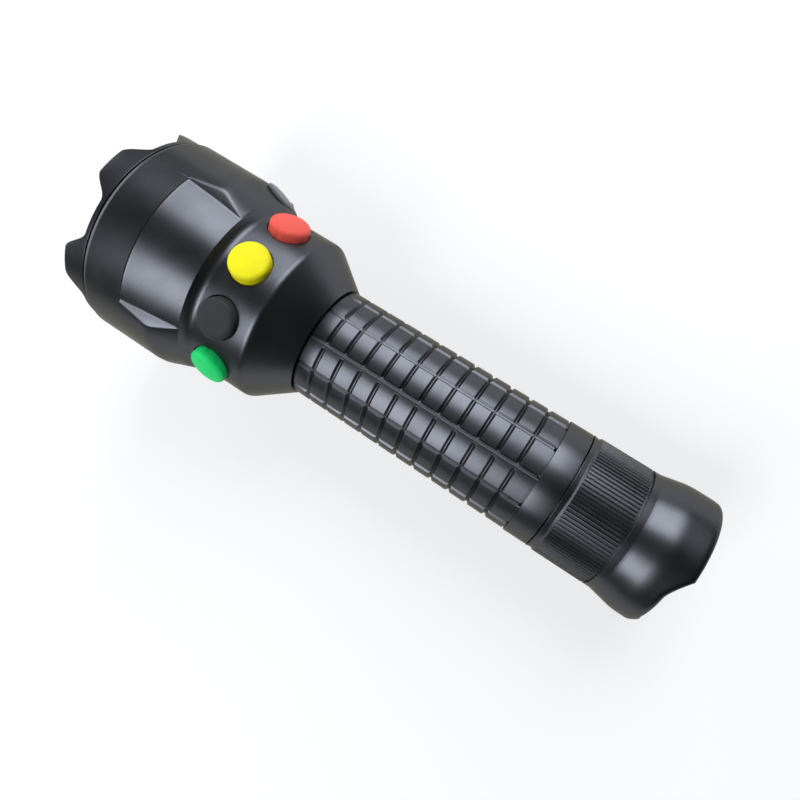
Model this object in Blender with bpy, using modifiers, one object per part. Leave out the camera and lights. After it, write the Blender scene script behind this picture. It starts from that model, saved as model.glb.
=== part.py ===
"""Pocket signal lamp: a hand torch that shows red, yellow, green and white light.

The lamp lies along X with its head towards -X. +Z passes through the middle of the button panel.
Stations along the axis are measured back from the head's front face, and an empty shifts the
whole lamp so that its middle is at the origin. Angles round the axis start at +Z and grow
towards +Y. All sizes are in metres.
"""
import bpy
import bmesh
from math import asin, atan2, cos, pi, radians, sin, sqrt
from mathutils import Matrix

# Cell and grip tube
CELL_RADIUS = 0.0093
CELL_LENGTH = 0.065
CELL_NUB_RADIUS = 0.0032
CELL_NUB_HEIGHT = 0.0012
CELL_CLEARANCE = 0.0004
TUBE_WALL = 0.0044
TUBE_SWELL = 0.0005
TUBE_SPARE = 0.0006
COLLAR_LENGTH = 0.0061
COLLAR_RISE = 0.00015
RING_GROOVE_DEPTH = 0.0006
LONG_GROOVE_DEPTH = 0.0005
GROOVE_WIDTH = 0.0009
RING_GROOVES = 11
LONG_GROOVES = 12
FIRST_BLOCK_SHARE = 0.86
LAST_BLOCK_SHARE = 1.04
SPIGOT_WALL = 0.0029
FRONT_SPIGOT_LENGTH = 0.0064
REAR_SPIGOT_LENGTH = 0.007
FRONT_SEAL_SETBACK = 0.0021
REAR_SEAL_SETBACK = 0.0023

# Head
HEAD_RADIUS = 0.026
BARREL_LENGTH = 0.018
CHAMFER_LENGTH = 0.0083
CHAMFER_DROP = 0.00265
LIP_LENGTH = 0.0035
LIP_CURVE_LENGTH = 0.0028
RING_STEP = 0.00435
RING_REAR_LAND = 0.0027
RING_FRONT_LAND = 0.0001
CONE_LENGTH = 0.0096
NECK_RISE = 0.0004
RIM_WALL = 0.002
SEAT_STEP = 0.0022
RING_WALL = 0.0022
SHELF_DEPTH = 0.0018
EDGE_CHAMFER = 0.0004
POCKETS = 2
POCKET_START = 0.0112
POCKET_FRONT_DEPTH = 0.0005
POCKET_HALF_ANGLE = radians(44)
POCKET_FILLET = 0.0012

# Bezel, lens and reflector
BEZEL_INSET = 0.0006
TOOTH_TIP = 0.0062
TOOTH_HEIGHT = 0.0045
TEETH = 6
FIRST_TOOTH_ANGLE = radians(24)
VALLEY_FLOOR_ANGLE = radians(22)
VALLEY_MOUTH_ANGLE = radians(42)
BEZEL_WALL = 0.0038
BEZEL_SPIGOT_LENGTH = 0.0029
SEAL_WIRE = 0.0005
LENS_THICKNESS = 0.0022
REFLECTOR_FLANGE = 0.0012
REFLECTOR_WALL = 0.0008

# Light engine
SINK_THICKNESS = 0.003
BOARD_THICKNESS = 0.0016
LED_BOARD_RADIUS = 0.0112
LED_SIDE = 0.00345
LED_BASE = 0.0009
LED_DOME_RADIUS = 0.0013
LED_PITCH = 0.0039
SCREW_CIRCLE = 0.0089
SCREW_SHANK_RADIUS = 0.001
SCREW_HEAD_RADIUS = 0.0017
SCREW_HEAD_HEIGHT = 0.001
SCREW_REACH = 0.002
LEAD_RADIUS = 0.0006
LEAD_CLEARANCE = 0.0018
LEAD_BOW = 0.0012

# Buttons and their switches
BUTTON_RADIUS = 0.00485
BUTTON_RISE = 0.0022
BUTTON_EDGE = 0.0009
BUTTON_CROWN = 0.00035
BUTTON_SPACE = 0.0004
BUTTON_CLEARANCE = 0.00025
BUTTON_TRAVEL = 0.0006
BUTTON_FLANGE = 0.0007
BUTTON_FLANGE_THICKNESS = 0.0008
BUTTON_STEM_RADIUS = 0.0018
BUTTON_STEM_LENGTH = 0.0022
SWITCH_SIDE = 0.006
SWITCH_HEIGHT = 0.0017
PLUNGER_RADIUS = 0.0012
PLUNGER_HEIGHT = 0.0004
CARRIER_RIM = 0.0015
CARRIER_WALL = 0.003

# Charging socket
SOCKET_WIDTH = 0.009
SOCKET_HEIGHT = 0.0026
SOCKET_DEPTH = 0.007
SOCKET_WALL = 0.0003
SOCKET_ANGLE = radians(110)
SLOT_WIDTH = 0.0094
SLOT_HEIGHT = 0.003
PLUG_FLANGE_WIDTH = 0.0112
PLUG_FLANGE_LENGTH = 0.0048
PLUG_RISE = 0.0008
PLUG_ROUNDING = 0.0012
CHARGE_BOARD_THICKNESS = 0.001
CHARGE_BOARD_WIDTH = 0.0115

# Driver and contacts
CONTACT_BASE_RADIUS = 0.0046
CONTACT_BASE_HEIGHT = 0.0009
CONTACT_PIN_RADIUS = 0.0024
CONTACT_HEIGHT = 0.0043
SPRING_RADIUS = 0.0062
SPRING_TIP_RADIUS = 0.0042
SPRING_WIRE = 0.00045
SPRING_TURNS = 6

# Tail cap
CAP_RISE = 0.0004
CAP_LEAD = 0.0018
KNURL_LENGTH = 0.0126
KNURL_RIBS = 60
KNURL_DEPTH = 0.0003
KNURL_INSET = 0.00003
RELIEF_WIDTH = 0.0006
RELIEF_DEPTH = 0.0004
BAND_LENGTH = 0.0017
FLARE_LENGTH = 0.0062
FLARE_RISE = 0.0013
END_LENGTH = 0.0077
END_ROUNDING = 0.0012
NOTCHES = 2
NOTCH_DEPTH = 0.0031
EAR_WALL = 0.0027
NOTCH_ANGLE = radians(-45)
NOTCH_FLOOR_ANGLE = radians(44)
NOTCH_MOUTH_ANGLE = radians(97)
RECESS_DEPTH = 0.0052
END_WALL = 0.003
CHAMBER_STEP = 0.0024
TAIL_SWITCH_SIDE = 0.0115
TAIL_SWITCH_LENGTH = 0.0066
TAIL_PLUNGER_RADIUS = 0.002
TAIL_PLUNGER_LENGTH = 0.001
BOOT_RISE = 0.0026
BOOT_FLANGE = 0.0008
BOOT_FLANGE_THICKNESS = 0.001
BOOT_STEM_RADIUS = 0.0016
BOOT_TRAVEL = 0.0012
RETAINER_THICKNESS = 0.0016
RETAINER_WIDTH = 0.0029

# Clearances and mesh fineness
GAP = 0.0003
OVERRUN = 0.004
MERGE = 0.00001
SHELL_SEGMENTS = 48
GRIP_SEGMENTS = 24
PIECE_SEGMENTS = 24
BUTTON_SEGMENTS = 20
ROD_SEGMENTS = 12
ARC_STEPS = 3
DOME_STEPS = 3
SPRING_TURN_POINTS = 9
SHARP_ANGLE = radians(60)

# Stations and radii that follow from them
barrel_end = BARREL_LENGTH
shoulder = barrel_end + CHAMFER_LENGTH
shoulder_radius = HEAD_RADIUS - CHAMFER_DROP
ring_front = shoulder + LIP_LENGTH
button_hole = BUTTON_RADIUS + BUTTON_CLEARANCE
button_place = ring_front + RING_FRONT_LAND + button_hole
ring_rear = button_place + button_hole + RING_REAR_LAND
ring_radius = HEAD_RADIUS - RING_STEP
head_rear = ring_rear + CONE_LENGTH
lens_bore = HEAD_RADIUS - RIM_WALL
main_bore = lens_bore - SEAT_STEP
ring_bore = ring_radius - RING_WALL
shelf = shoulder - SHELF_DEPTH

cell_bore = CELL_RADIUS + CELL_CLEARANCE
tube_front_radius = cell_bore + TUBE_WALL
tube_rear_radius = tube_front_radius + TUBE_SWELL
spigot_radius = cell_bore + SPIGOT_WALL
neck_bore = spigot_radius + GAP
tube_front = head_rear + GAP
tube_rear = head_rear + CELL_LENGTH + TUBE_SPARE
blocks_end = tube_rear - COLLAR_LENGTH
groove_pitch = (blocks_end - tube_front) / (RING_GROOVES - 1 + FIRST_BLOCK_SHARE + LAST_BLOCK_SHARE)
first_groove = tube_front + groove_pitch * FIRST_BLOCK_SHARE
tube_tip = tube_rear + REAR_SPIGOT_LENGTH
tube_start = head_rear - FRONT_SPIGOT_LENGTH

bezel_radius = HEAD_RADIUS - BEZEL_INSET
bezel_spigot_radius = lens_bore - GAP
bezel_bore = bezel_radius - BEZEL_WALL
lens_front = BEZEL_SPIGOT_LENGTH + 2 * SEAL_WIRE + 2 * GAP
lens_rear = lens_front + LENS_THICKNESS
flange_front = lens_rear + GAP
seat = flange_front + REFLECTOR_FLANGE + GAP
sink_rear = shelf - GAP
sink_front = sink_rear - SINK_THICKNESS
led_board_rear = sink_front - GAP
led_board_front = led_board_rear - BOARD_THICKNESS
led_rear = led_board_front - GAP
led_front = led_rear - LED_BASE
reflector_rear = led_front - GAP
reflector_mouth = main_bore - GAP - REFLECTOR_WALL
reflector_throat = (LED_PITCH / 2 + LED_SIDE / 2) * sqrt(2) + GAP

flange_radius = button_hole + BUTTON_FLANGE / 2
flange_top = sqrt(ring_bore ** 2 - flange_radius ** 2) - GAP
flange_bottom = flange_top - BUTTON_FLANGE_THICKNESS
button_spacing = 2 * asin((flange_radius + BUTTON_SPACE / 2) / flange_bottom)
stem_end = flange_bottom - BUTTON_STEM_LENGTH
plunger_top = stem_end - BUTTON_TRAVEL - GAP
switch_top = plunger_top - PLUNGER_HEIGHT
switch_seat = switch_top - SWITCH_HEIGHT
carrier_flat = switch_seat - GAP
carrier_radius = carrier_flat + CARRIER_RIM
carrier_bore = carrier_flat - CARRIER_WALL
lead_circle = carrier_bore - LEAD_CLEARANCE - LEAD_BOW - LEAD_RADIUS

driver_rear = ring_rear - GAP
driver_front = driver_rear - BOARD_THICKNESS
driver_radius = ring_bore - GAP
carrier_front = shelf
carrier_rear = driver_front - GAP
contact_front = driver_rear + GAP
contact_tip = contact_front + CONTACT_HEIGHT
cell_front = contact_tip + GAP
cell_rear = cell_front + CELL_LENGTH

cap_front = tube_rear + GAP
front_seal_place = tube_front - FRONT_SEAL_SETBACK
rear_seal_place = cap_front + REAR_SEAL_SETBACK
cap_radius = tube_rear_radius + CAP_RISE
knurl_front = cap_front + CAP_LEAD
knurl_rear = knurl_front + KNURL_LENGTH
relief_rear = knurl_rear + RELIEF_WIDTH
flare_front = relief_rear + BAND_LENGTH
flare_rear = flare_front + FLARE_LENGTH
tail_radius = cap_radius + FLARE_RISE
tail_end = flare_rear + END_LENGTH
recess_floor = tail_end - RECESS_DEPTH
chamber_end = recess_floor - END_WALL
recess_radius = tail_radius - EAR_WALL
cap_bore = spigot_radius + GAP
chamber_radius = cap_bore - CHAMBER_STEP
board_front = tube_tip + GAP
board_rear = board_front + BOARD_THICKNESS
chamber_start = board_rear + GAP
tail_switch_front = board_rear + GAP
tail_switch_rear = tail_switch_front + TAIL_SWITCH_LENGTH
tail_plunger_end = tail_switch_rear + TAIL_PLUNGER_LENGTH
retainer_bore = chamber_radius - GAP - RETAINER_WIDTH
boot_flange_radius = retainer_bore - GAP
boot_hole = boot_flange_radius - BOOT_FLANGE
boot_radius = boot_hole - GAP
boot_flange_rear = chamber_end - GAP
boot_flange_front = boot_flange_rear - BOOT_FLANGE_THICKNESS
boot_stem_end = tail_plunger_end + BOOT_TRAVEL + GAP
retainer_front = tail_switch_rear + GAP
retainer_rear = retainer_front + RETAINER_THICKNESS

slot_place = shelf - GAP - SOCKET_HEIGHT / 2
middle = (tail_end - TOOTH_TIP) / 2

# Local Z runs along the lamp, and local X points up
ALONG = Matrix(((0, 0, 1, 0), (0, -1, 0, 0), (1, 0, 0, 0), (0, 0, 0, 1)))


def clear_scene():
    """Remove every object that the new file starts with."""
    for item in list(bpy.data.objects):
        bpy.data.objects.remove(item, do_unlink=True)


def new_collection(name):
    """Return a new collection in the scene."""
    group = bpy.data.collections.new(name)
    bpy.context.scene.collection.children.link(group)
    return group


def finish(name, colour, roughness, metallic=0.0, alpha=1.0):
    """Return a Principled material."""
    material = bpy.data.materials.new(name)
    material.use_nodes = True
    shader = material.node_tree.nodes["Principled BSDF"]
    shader.inputs["Base Color"].default_value = (*colour, 1.0)
    shader.inputs["Roughness"].default_value = roughness
    shader.inputs["Metallic"].default_value = metallic
    shader.inputs["Alpha"].default_value = alpha
    return material


def around(angle):
    """Return the turn about the lamp's axis that takes +Z to the given angle."""
    return Matrix.Rotation(-angle, 4, "X")


def axial(angle=0.0):
    """Return the placing of a piece whose local Z lies along the lamp."""
    return around(angle) @ ALONG


def radial(angle, station):
    """Return the placing of a piece whose local Z points out from the axis at a station."""
    return around(angle) @ Matrix.Translation((station, 0, 0))


def add(name, mesh, placing, material=None):
    """Put a mesh in the scene, under the lamp's empty: a part, or a cutter when it has no material."""
    piece = bpy.data.objects.new(name, mesh)
    piece.parent = LAMP
    piece.matrix_local = placing
    if material is None:
        CUTTERS.objects.link(piece)
        piece.hide_render = True
        piece.display_type = "WIRE"
    else:
        PARTS.objects.link(piece)
        mesh.materials.append(material)
    return piece


def outline_mesh(name, outline):
    """Return a mesh of one chain of edges; it closes unless both its ends are on the axis."""
    mesh = bpy.data.meshes.new(name)
    count = len(outline)
    edges = [(i, i + 1) for i in range(count - 1)]
    if outline[0][0] > 0 or outline[-1][0] > 0:
        edges.append((count - 1, 0))
    mesh.from_pydata([(r, 0, z) for r, z in outline], edges, [])
    return mesh


def turned(name, outline, placing, material=None, segments=PIECE_SEGMENTS, angle=2 * pi):
    """Turn an outline of (radius, height) points about local Z; its outer side runs downwards."""
    piece = add(name, outline_mesh(name, outline), placing, material)
    screw = piece.modifiers.new("Turn", "SCREW")
    screw.axis = "Z"
    screw.angle = angle
    screw.steps = segments
    screw.render_steps = segments
    screw.use_merge_vertices = True
    screw.merge_threshold = MERGE
    screw.use_smooth_shade = True
    return piece


def solid_mesh(name, build):
    """Return a mesh that the given function builds with bmesh."""
    mesh = bpy.data.meshes.new(name)
    shape = bmesh.new()
    build(shape)
    shape.to_mesh(mesh)
    shape.free()
    return mesh


def add_box(shape, low, high):
    """Add a box between two corners to a bmesh and return its corners."""
    size = [b - a for a, b in zip(low, high)]
    centre = [(a + b) / 2 for a, b in zip(low, high)]
    placing = Matrix.Translation(centre) @ Matrix.Diagonal((*size, 1))
    return bmesh.ops.create_cube(shape, size=1, matrix=placing)["verts"]


def box(name, low, high, placing, material=None):
    """Make a box between two corners."""
    return add(name, solid_mesh(name, lambda shape: add_box(shape, low, high)), placing, material)


def add_rod(shape, radius, low, high, segments, x=0.0, y=0.0):
    """Add a rod along local Z to a bmesh."""
    placing = Matrix.Translation((x, y, (low + high) / 2))
    bmesh.ops.create_cone(shape, cap_ends=True, segments=segments, radius1=radius, radius2=radius,
                          depth=high - low, matrix=placing)


def rod(name, radius, low, high, placing, material=None, segments=PIECE_SEGMENTS, x=0.0, y=0.0):
    """Make a rod along local Z."""
    mesh = solid_mesh(name, lambda shape: add_rod(shape, radius, low, high, segments, x, y))
    return add(name, mesh, placing, material)


def combine(piece, tool, operation="DIFFERENCE"):
    """Cut a piece with a tool, or join or intersect it."""
    step = piece.modifiers.new(operation.title(), "BOOLEAN")
    step.operation = operation
    step.solver = "EXACT"
    step.object = tool


def soften(piece, width, segments, angle):
    """Round the edges that are sharper than an angle."""
    bevel = piece.modifiers.new("Soften", "BEVEL")
    bevel.width = width
    bevel.segments = segments
    bevel.limit_method = "ANGLE"
    bevel.angle_limit = angle


def arc(centre_r, centre_z, radius_r, radius_z, start, end, steps=ARC_STEPS):
    """Return the points of a quarter or other stretch of an ellipse, with both its ends."""
    angles = [start + (end - start) * i / steps for i in range(steps + 1)]
    return [(centre_r + radius_r * cos(a), centre_z + radius_z * sin(a)) for a in angles]


def ring_outline(inner, outer, low, high):
    """Return the outline of a plain ring."""
    return [(outer, high), (outer, low), (inner, low), (inner, high)]


def seal(name, radius, station):
    """Make an O-ring round the axis."""
    section = arc(radius, station, SEAL_WIRE, SEAL_WIRE, pi / 2, -3 * pi / 2, 2 * ARC_STEPS)[:-1]
    turned(name, section, axial(), SEAL_RUBBER)


def wedge_bar(name, floor_width, mouth_width, floor, mouth, reach, placing):
    """Make a bar out from the axis whose section along the lamp is a trapezoid."""
    def build(shape):
        low, high = min(floor, mouth), max(floor, mouth)
        corners = add_box(shape, (0, -floor_width / 2, low), (reach, floor_width / 2, high))
        for corner in corners:
            if abs(corner.co.z - mouth) < MERGE:
                corner.co.y *= mouth_width / floor_width
    return add(name, solid_mesh(name, build), placing)


def tooth_gap_width(radius, angle):
    """Return the chord of an angle at a radius."""
    return 2 * radius * sin(angle / 2)


def make_bezel():
    """Front ring with a spigot behind it and rounded teeth in front."""
    outline = [(bezel_radius, -GAP), (bezel_radius, -TOOTH_TIP + EDGE_CHAMFER),
               (bezel_radius - EDGE_CHAMFER, -TOOTH_TIP), (bezel_bore + EDGE_CHAMFER, -TOOTH_TIP),
               (bezel_bore, -TOOTH_TIP + EDGE_CHAMFER), (bezel_bore, BEZEL_SPIGOT_LENGTH),
               (bezel_spigot_radius, BEZEL_SPIGOT_LENGTH), (bezel_spigot_radius, -GAP)]
    ring = turned("bezel_ring", outline, axial(), ANODISED, SHELL_SEGMENTS)
    floor_width = tooth_gap_width(bezel_radius, VALLEY_FLOOR_ANGLE)
    mouth_width = tooth_gap_width(bezel_radius, VALLEY_MOUTH_ANGLE)
    floor = -TOOTH_TIP + TOOTH_HEIGHT
    mouth = -TOOTH_TIP - OVERRUN
    slope = (mouth_width - floor_width) / TOOTH_HEIGHT
    wide = floor_width + slope * (floor - mouth)
    for i in range(TEETH):
        angle = FIRST_TOOTH_ANGLE + pi / TEETH + 2 * pi * i / TEETH
        bar = wedge_bar(f"bezel_valley_{i + 1}", floor_width, wide, floor, mouth,
                        bezel_radius + OVERRUN, axial(angle))
        combine(ring, bar)


def head_outline():
    """Outside of the head from the neck forwards, then its bores from the front backwards."""
    lip = arc(ring_radius + (shoulder_radius - ring_radius) / 2, ring_front,
              (shoulder_radius - ring_radius) / 2, LIP_CURVE_LENGTH, pi, 3 * pi / 2)
    neck_radius = tube_front_radius + NECK_RISE
    return [
        (neck_radius, head_rear),
        (ring_radius, ring_rear),
        *lip,
        (shoulder_radius, shoulder),
        (HEAD_RADIUS, barrel_end),
        (HEAD_RADIUS, EDGE_CHAMFER),
        (HEAD_RADIUS - EDGE_CHAMFER, 0),
        (lens_bore, 0),
        (lens_bore, seat),
        (main_bore, seat),
        (main_bore, shelf),
        (ring_bore, shelf),
        (ring_bore, ring_rear),
        (neck_bore, ring_rear),
        (neck_bore, head_rear),
    ]


def pocket_cutter(name, angle):
    """Tool for one finger pocket: a slice of a cone, thickened outwards, with rounded edges."""
    rear = ring_front
    front_radius = HEAD_RADIUS - POCKET_FRONT_DEPTH
    slope = (front_radius - shoulder_radius) / (shoulder - POCKET_START)
    rear_radius = front_radius - slope * (rear - POCKET_START)
    mesh = bpy.data.meshes.new(name)
    mesh.from_pydata([(rear_radius, 0, rear), (front_radius, 0, POCKET_START)], [(0, 1)], [])
    tool = add(name, mesh, axial(angle + POCKET_HALF_ANGLE))
    sweep = tool.modifiers.new("Turn", "SCREW")
    sweep.axis = "Z"
    sweep.angle = 2 * POCKET_HALF_ANGLE
    sweep.steps = SHELL_SEGMENTS // 4
    sweep.render_steps = SHELL_SEGMENTS // 4
    sweep.use_merge_vertices = True
    sweep.merge_threshold = MERGE
    wall = tool.modifiers.new("Thicken", "SOLIDIFY")
    wall.thickness = CHAMFER_DROP + OVERRUN
    wall.offset = 1
    soften(tool, POCKET_FILLET, 2, SHARP_ANGLE)
    return tool


def make_head():
    """One machined housing: barrel, chamfer, pockets, button ring and rear cone."""
    head = turned("head_housing", head_outline(), axial(), ANODISED, SHELL_SEGMENTS)
    for i in range(POCKETS):
        combine(head, pocket_cutter(f"pocket_{i + 1}", 2 * pi * i / POCKETS))
    for name, angle in BUTTON_ANGLES.items():
        hole = rod(f"{name}_hole", button_hole, flange_top, ring_radius + OVERRUN,
                   radial(angle, button_place), segments=BUTTON_SEGMENTS)
        combine(head, hole)
    slot = box("charge_slot", (-SLOT_HEIGHT / 2, -SLOT_WIDTH / 2, main_bore - OVERRUN),
               (SLOT_HEIGHT / 2, SLOT_WIDTH / 2, HEAD_RADIUS + OVERRUN),
               radial(SOCKET_ANGLE, slot_place))
    combine(head, slot)


def make_lens():
    """Flat glass and the seal in front of it."""
    rod("front_lens", lens_bore - GAP, lens_front, lens_rear, axial(), GLASS, SHELL_SEGMENTS)
    seal("lens_seal", bezel_bore + SEAL_WIRE + GAP, BEZEL_SPIGOT_LENGTH + GAP + SEAL_WIRE)


def bowl_curve(mouth, throat, front, rear, steps):
    """Points of a parabola from its throat at the rear to its mouth at the front."""
    points = []
    for i in range(steps + 1):
        share = i / steps
        radius = sqrt(throat ** 2 + (mouth ** 2 - throat ** 2) * share)
        points.append((radius, rear - (rear - front) * share))
    return points


def make_reflector():
    """Bowl with a flange at its mouth that seats in the head."""
    inside = bowl_curve(reflector_mouth, reflector_throat, flange_front, reflector_rear, 2 * ARC_STEPS)
    outside = bowl_curve(reflector_mouth + REFLECTOR_WALL, reflector_throat + REFLECTOR_WALL,
                         flange_front + REFLECTOR_FLANGE, reflector_rear, 2 * ARC_STEPS)
    flange = [(lens_bore - GAP, flange_front + REFLECTOR_FLANGE), (lens_bore - GAP, flange_front)]
    turned("reflector", [*outside, *flange, *reversed(inside)], axial(), MIRRORED, GRIP_SEGMENTS)


def make_leds():
    """Four emitters in a square in the reflector's throat."""
    corners = {"white_led": (1, 1), "red_led": (1, -1), "yellow_led": (-1, 1), "green_led": (-1, -1)}
    for name, (up, side) in corners.items():
        x, y = up * LED_PITCH / 2, side * LED_PITCH / 2
        half = LED_SIDE / 2
        led = box(name, (x - half, y - half, led_front), (x + half, y + half, led_rear),
                  axial(), LED_FINISHES[name])
        base_middle = led_front + LED_BASE / 2
        curve = arc(0, led_front, LED_DOME_RADIUS, LED_DOME_RADIUS, 0, -pi / 2, DOME_STEPS)
        outline = [(0, base_middle), (LED_DOME_RADIUS, base_middle), *curve[:-1],
                   (0, led_front - LED_DOME_RADIUS)]
        dome = turned(f"{name}_dome", outline, axial() @ Matrix.Translation((x, y, 0)),
                      segments=ROD_SEGMENTS)
        combine(led, dome, "UNION")


def make_led_board():
    """Round board on the heat sink, with its two screws."""
    board = rod("led_board", LED_BOARD_RADIUS, led_board_front, led_board_rear, axial(), BOARD)
    sink = rod("heat_sink", main_bore - GAP, sink_front, sink_rear, axial(), ALUMINIUM, SHELL_SEGMENTS)
    notch_depth = SOCKET_DEPTH + 2 * GAP
    notch = box("sink_notch", (-SINK_THICKNESS, -SOCKET_WIDTH / 2 - GAP, main_bore - notch_depth),
                (SINK_THICKNESS, SOCKET_WIDTH / 2 + GAP, main_bore + OVERRUN),
                radial(SOCKET_ANGLE, (sink_front + sink_rear) / 2))
    combine(sink, notch)
    screw_tip = sink_front + SCREW_REACH
    head_front = led_board_front - SCREW_HEAD_HEIGHT - GAP
    for i in range(2):
        angle = i * pi
        hole = rod(f"screw_hole_{i + 1}", SCREW_SHANK_RADIUS + GAP, head_front, screw_tip + GAP,
                   axial(angle), segments=ROD_SEGMENTS, x=SCREW_CIRCLE)
        combine(board, hole)
        combine(sink, hole)
        outline = [(0, screw_tip), (SCREW_SHANK_RADIUS, screw_tip),
                   (SCREW_SHANK_RADIUS, led_board_front - GAP), (SCREW_HEAD_RADIUS, led_board_front - GAP),
                   (SCREW_HEAD_RADIUS, head_front), (0, head_front)]
        placing = axial(angle) @ Matrix.Translation((SCREW_CIRCLE, 0, 0))
        turned(f"board_screw_{i + 1}", outline, placing, STEEL, ROD_SEGMENTS)
        way = rod(f"lead_way_{i + 1}", LEAD_RADIUS + GAP, sink_front - OVERRUN, sink_rear + OVERRUN,
                  axial(angle + pi / 2), segments=ROD_SEGMENTS, x=lead_circle)
        combine(sink, way)


def make_leads():
    """Two wires from the driver board through the heat sink to the emitters' board."""
    for name, angle, material in (("red_lead", pi / 2, RED), ("black_lead", -pi / 2, RUBBER)):
        start, end = led_board_rear + GAP, driver_front - GAP
        bow_start = sink_rear + GAP
        stations = [start, bow_start]
        steps = 3 * ARC_STEPS
        stations += [bow_start + (end - bow_start) * (i + 1) / steps for i in range(steps)]
        curve = bpy.data.curves.new(name, "CURVE")
        curve.dimensions = "3D"
        curve.bevel_depth = LEAD_RADIUS
        curve.bevel_resolution = 1
        curve.use_fill_caps = True
        line = curve.splines.new("POLY")
        line.points.add(len(stations) - 1)
        for point, station in zip(line.points, stations):
            share = max(0.0, (station - bow_start) / (end - bow_start))
            reach = lead_circle + LEAD_BOW * sin(pi * share) ** 2
            point.co = (reach, 0, station, 1)
        add(name, curve, axial(angle), material)


def button_outline():
    """Domed pad, neck, inner flange and stem, as distances from the lamp's axis."""
    top = ring_radius + BUTTON_RISE
    edge_height = top - BUTTON_CROWN - BUTTON_EDGE
    edge = arc(BUTTON_RADIUS - BUTTON_EDGE, edge_height, BUTTON_EDGE, BUTTON_EDGE, pi / 2, 0)
    return [(0, top), *edge, (BUTTON_RADIUS, flange_top), (flange_radius, flange_top),
            (flange_radius, flange_bottom), (BUTTON_STEM_RADIUS, flange_bottom),
            (BUTTON_STEM_RADIUS, stem_end), (0, stem_end)]


def make_buttons():
    """Four rubber buttons, each with a tactile switch on the carrier under it."""
    for name, angle in BUTTON_ANGLES.items():
        turned(f"{name}_button", button_outline(), radial(angle, button_place),
               BUTTON_FINISHES[name], BUTTON_SEGMENTS)
        half = SWITCH_SIDE / 2
        switch = box(f"{name}_switch", (-half, -half, switch_seat), (half, half, switch_top),
                     radial(angle, button_place), SWITCH_PLASTIC)
        plunger = rod(f"{name}_plunger", PLUNGER_RADIUS, switch_seat + GAP, plunger_top,
                      radial(angle, button_place), segments=ROD_SEGMENTS)
        combine(switch, plunger, "UNION")


def make_carrier():
    """Ring with a flat under each switch, held between the heat sink and the driver board."""
    outline = ring_outline(carrier_bore, carrier_radius, carrier_front, carrier_rear)
    carrier = turned("switch_carrier", outline, axial(), SWITCH_PLASTIC, GRIP_SEGMENTS)
    half = SWITCH_SIDE / 2 + GAP
    for name, angle in BUTTON_ANGLES.items():
        flat = box(f"{name}_flat", (-half, -half, carrier_flat),
                   (half, half, carrier_radius + OVERRUN), radial(angle, button_place))
        combine(carrier, flat)


def make_charger():
    """Charging socket on its small board, and the rubber plug in its slot."""
    socket_top = main_bore - GAP
    socket_floor = socket_top - SOCKET_DEPTH + SOCKET_WALL
    half_width, half_height = SOCKET_WIDTH / 2, SOCKET_HEIGHT / 2
    placing = radial(SOCKET_ANGLE, slot_place)
    socket = box("charge_socket", (-half_height, -half_width, socket_top - SOCKET_DEPTH),
                 (half_height, half_width, socket_top), placing, STEEL)
    mouth = box("charge_mouth",
                (-half_height + SOCKET_WALL, -half_width + SOCKET_WALL, socket_floor),
                (half_height - SOCKET_WALL, half_width - SOCKET_WALL, socket_top + OVERRUN), placing)
    combine(socket, mouth)
    board_front_face = half_height + GAP
    box("charge_board", (board_front_face, -CHARGE_BOARD_WIDTH / 2, socket_top - SOCKET_DEPTH),
        (board_front_face + CHARGE_BOARD_THICKNESS, CHARGE_BOARD_WIDTH / 2,
         sqrt((ring_bore - GAP) ** 2 - (CHARGE_BOARD_WIDTH / 2) ** 2)), placing, BOARD)
    half_flange, half_length = PLUG_FLANGE_WIDTH / 2, PLUG_FLANGE_LENGTH / 2
    plug = box("charge_plug", (-half_length, -half_flange, shoulder_radius - OVERRUN),
               (half_length, half_flange, HEAD_RADIUS + OVERRUN), placing, RUBBER)
    soften(plug, PLUG_ROUNDING, 2, SHARP_ANGLE)
    combine(plug, plug_skin(), "INTERSECT")
    stem_half_width, stem_half_height = SLOT_WIDTH / 2 - GAP, SLOT_HEIGHT / 2 - GAP
    stem_top = head_surface(slot_place) + PLUG_RISE / 2
    stem = box("plug_stem", (-stem_half_height, -stem_half_width, main_bore + GAP),
               (stem_half_height, stem_half_width, stem_top), placing)
    combine(plug, stem, "UNION")


def head_surface(station):
    """Return the head's outer radius at a station on its chamfer."""
    return HEAD_RADIUS - CHAMFER_DROP * (station - barrel_end) / CHAMFER_LENGTH


def plug_skin():
    """Tool that keeps the layer of the plug that lies on the head's chamfer."""
    front, rear = barrel_end - CHAMFER_LENGTH, shoulder + CHAMFER_LENGTH
    lift, top = GAP, GAP + PLUG_RISE
    slope = CHAMFER_DROP / CHAMFER_LENGTH
    rear_radius = HEAD_RADIUS - slope * (rear - barrel_end)
    outline = [(rear_radius + top, rear), (HEAD_RADIUS + top, barrel_end), (HEAD_RADIUS + top, front),
               (HEAD_RADIUS + lift, front), (HEAD_RADIUS + lift, barrel_end), (rear_radius + lift, rear)]
    return turned("plug_skin", outline, axial(), segments=SHELL_SEGMENTS)


def make_driver():
    """Driver board behind the switches, with the contact that meets the cell."""
    rod("driver_board", driver_radius, driver_front, driver_rear, axial(), BOARD, SHELL_SEGMENTS)
    outline = [(0, contact_tip), (CONTACT_PIN_RADIUS, contact_tip),
               (CONTACT_PIN_RADIUS, contact_front + CONTACT_BASE_HEIGHT),
               (CONTACT_BASE_RADIUS, contact_front + CONTACT_BASE_HEIGHT),
               (CONTACT_BASE_RADIUS, contact_front), (0, contact_front)]
    turned("front_contact", outline, axial(), BRASS)


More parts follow.
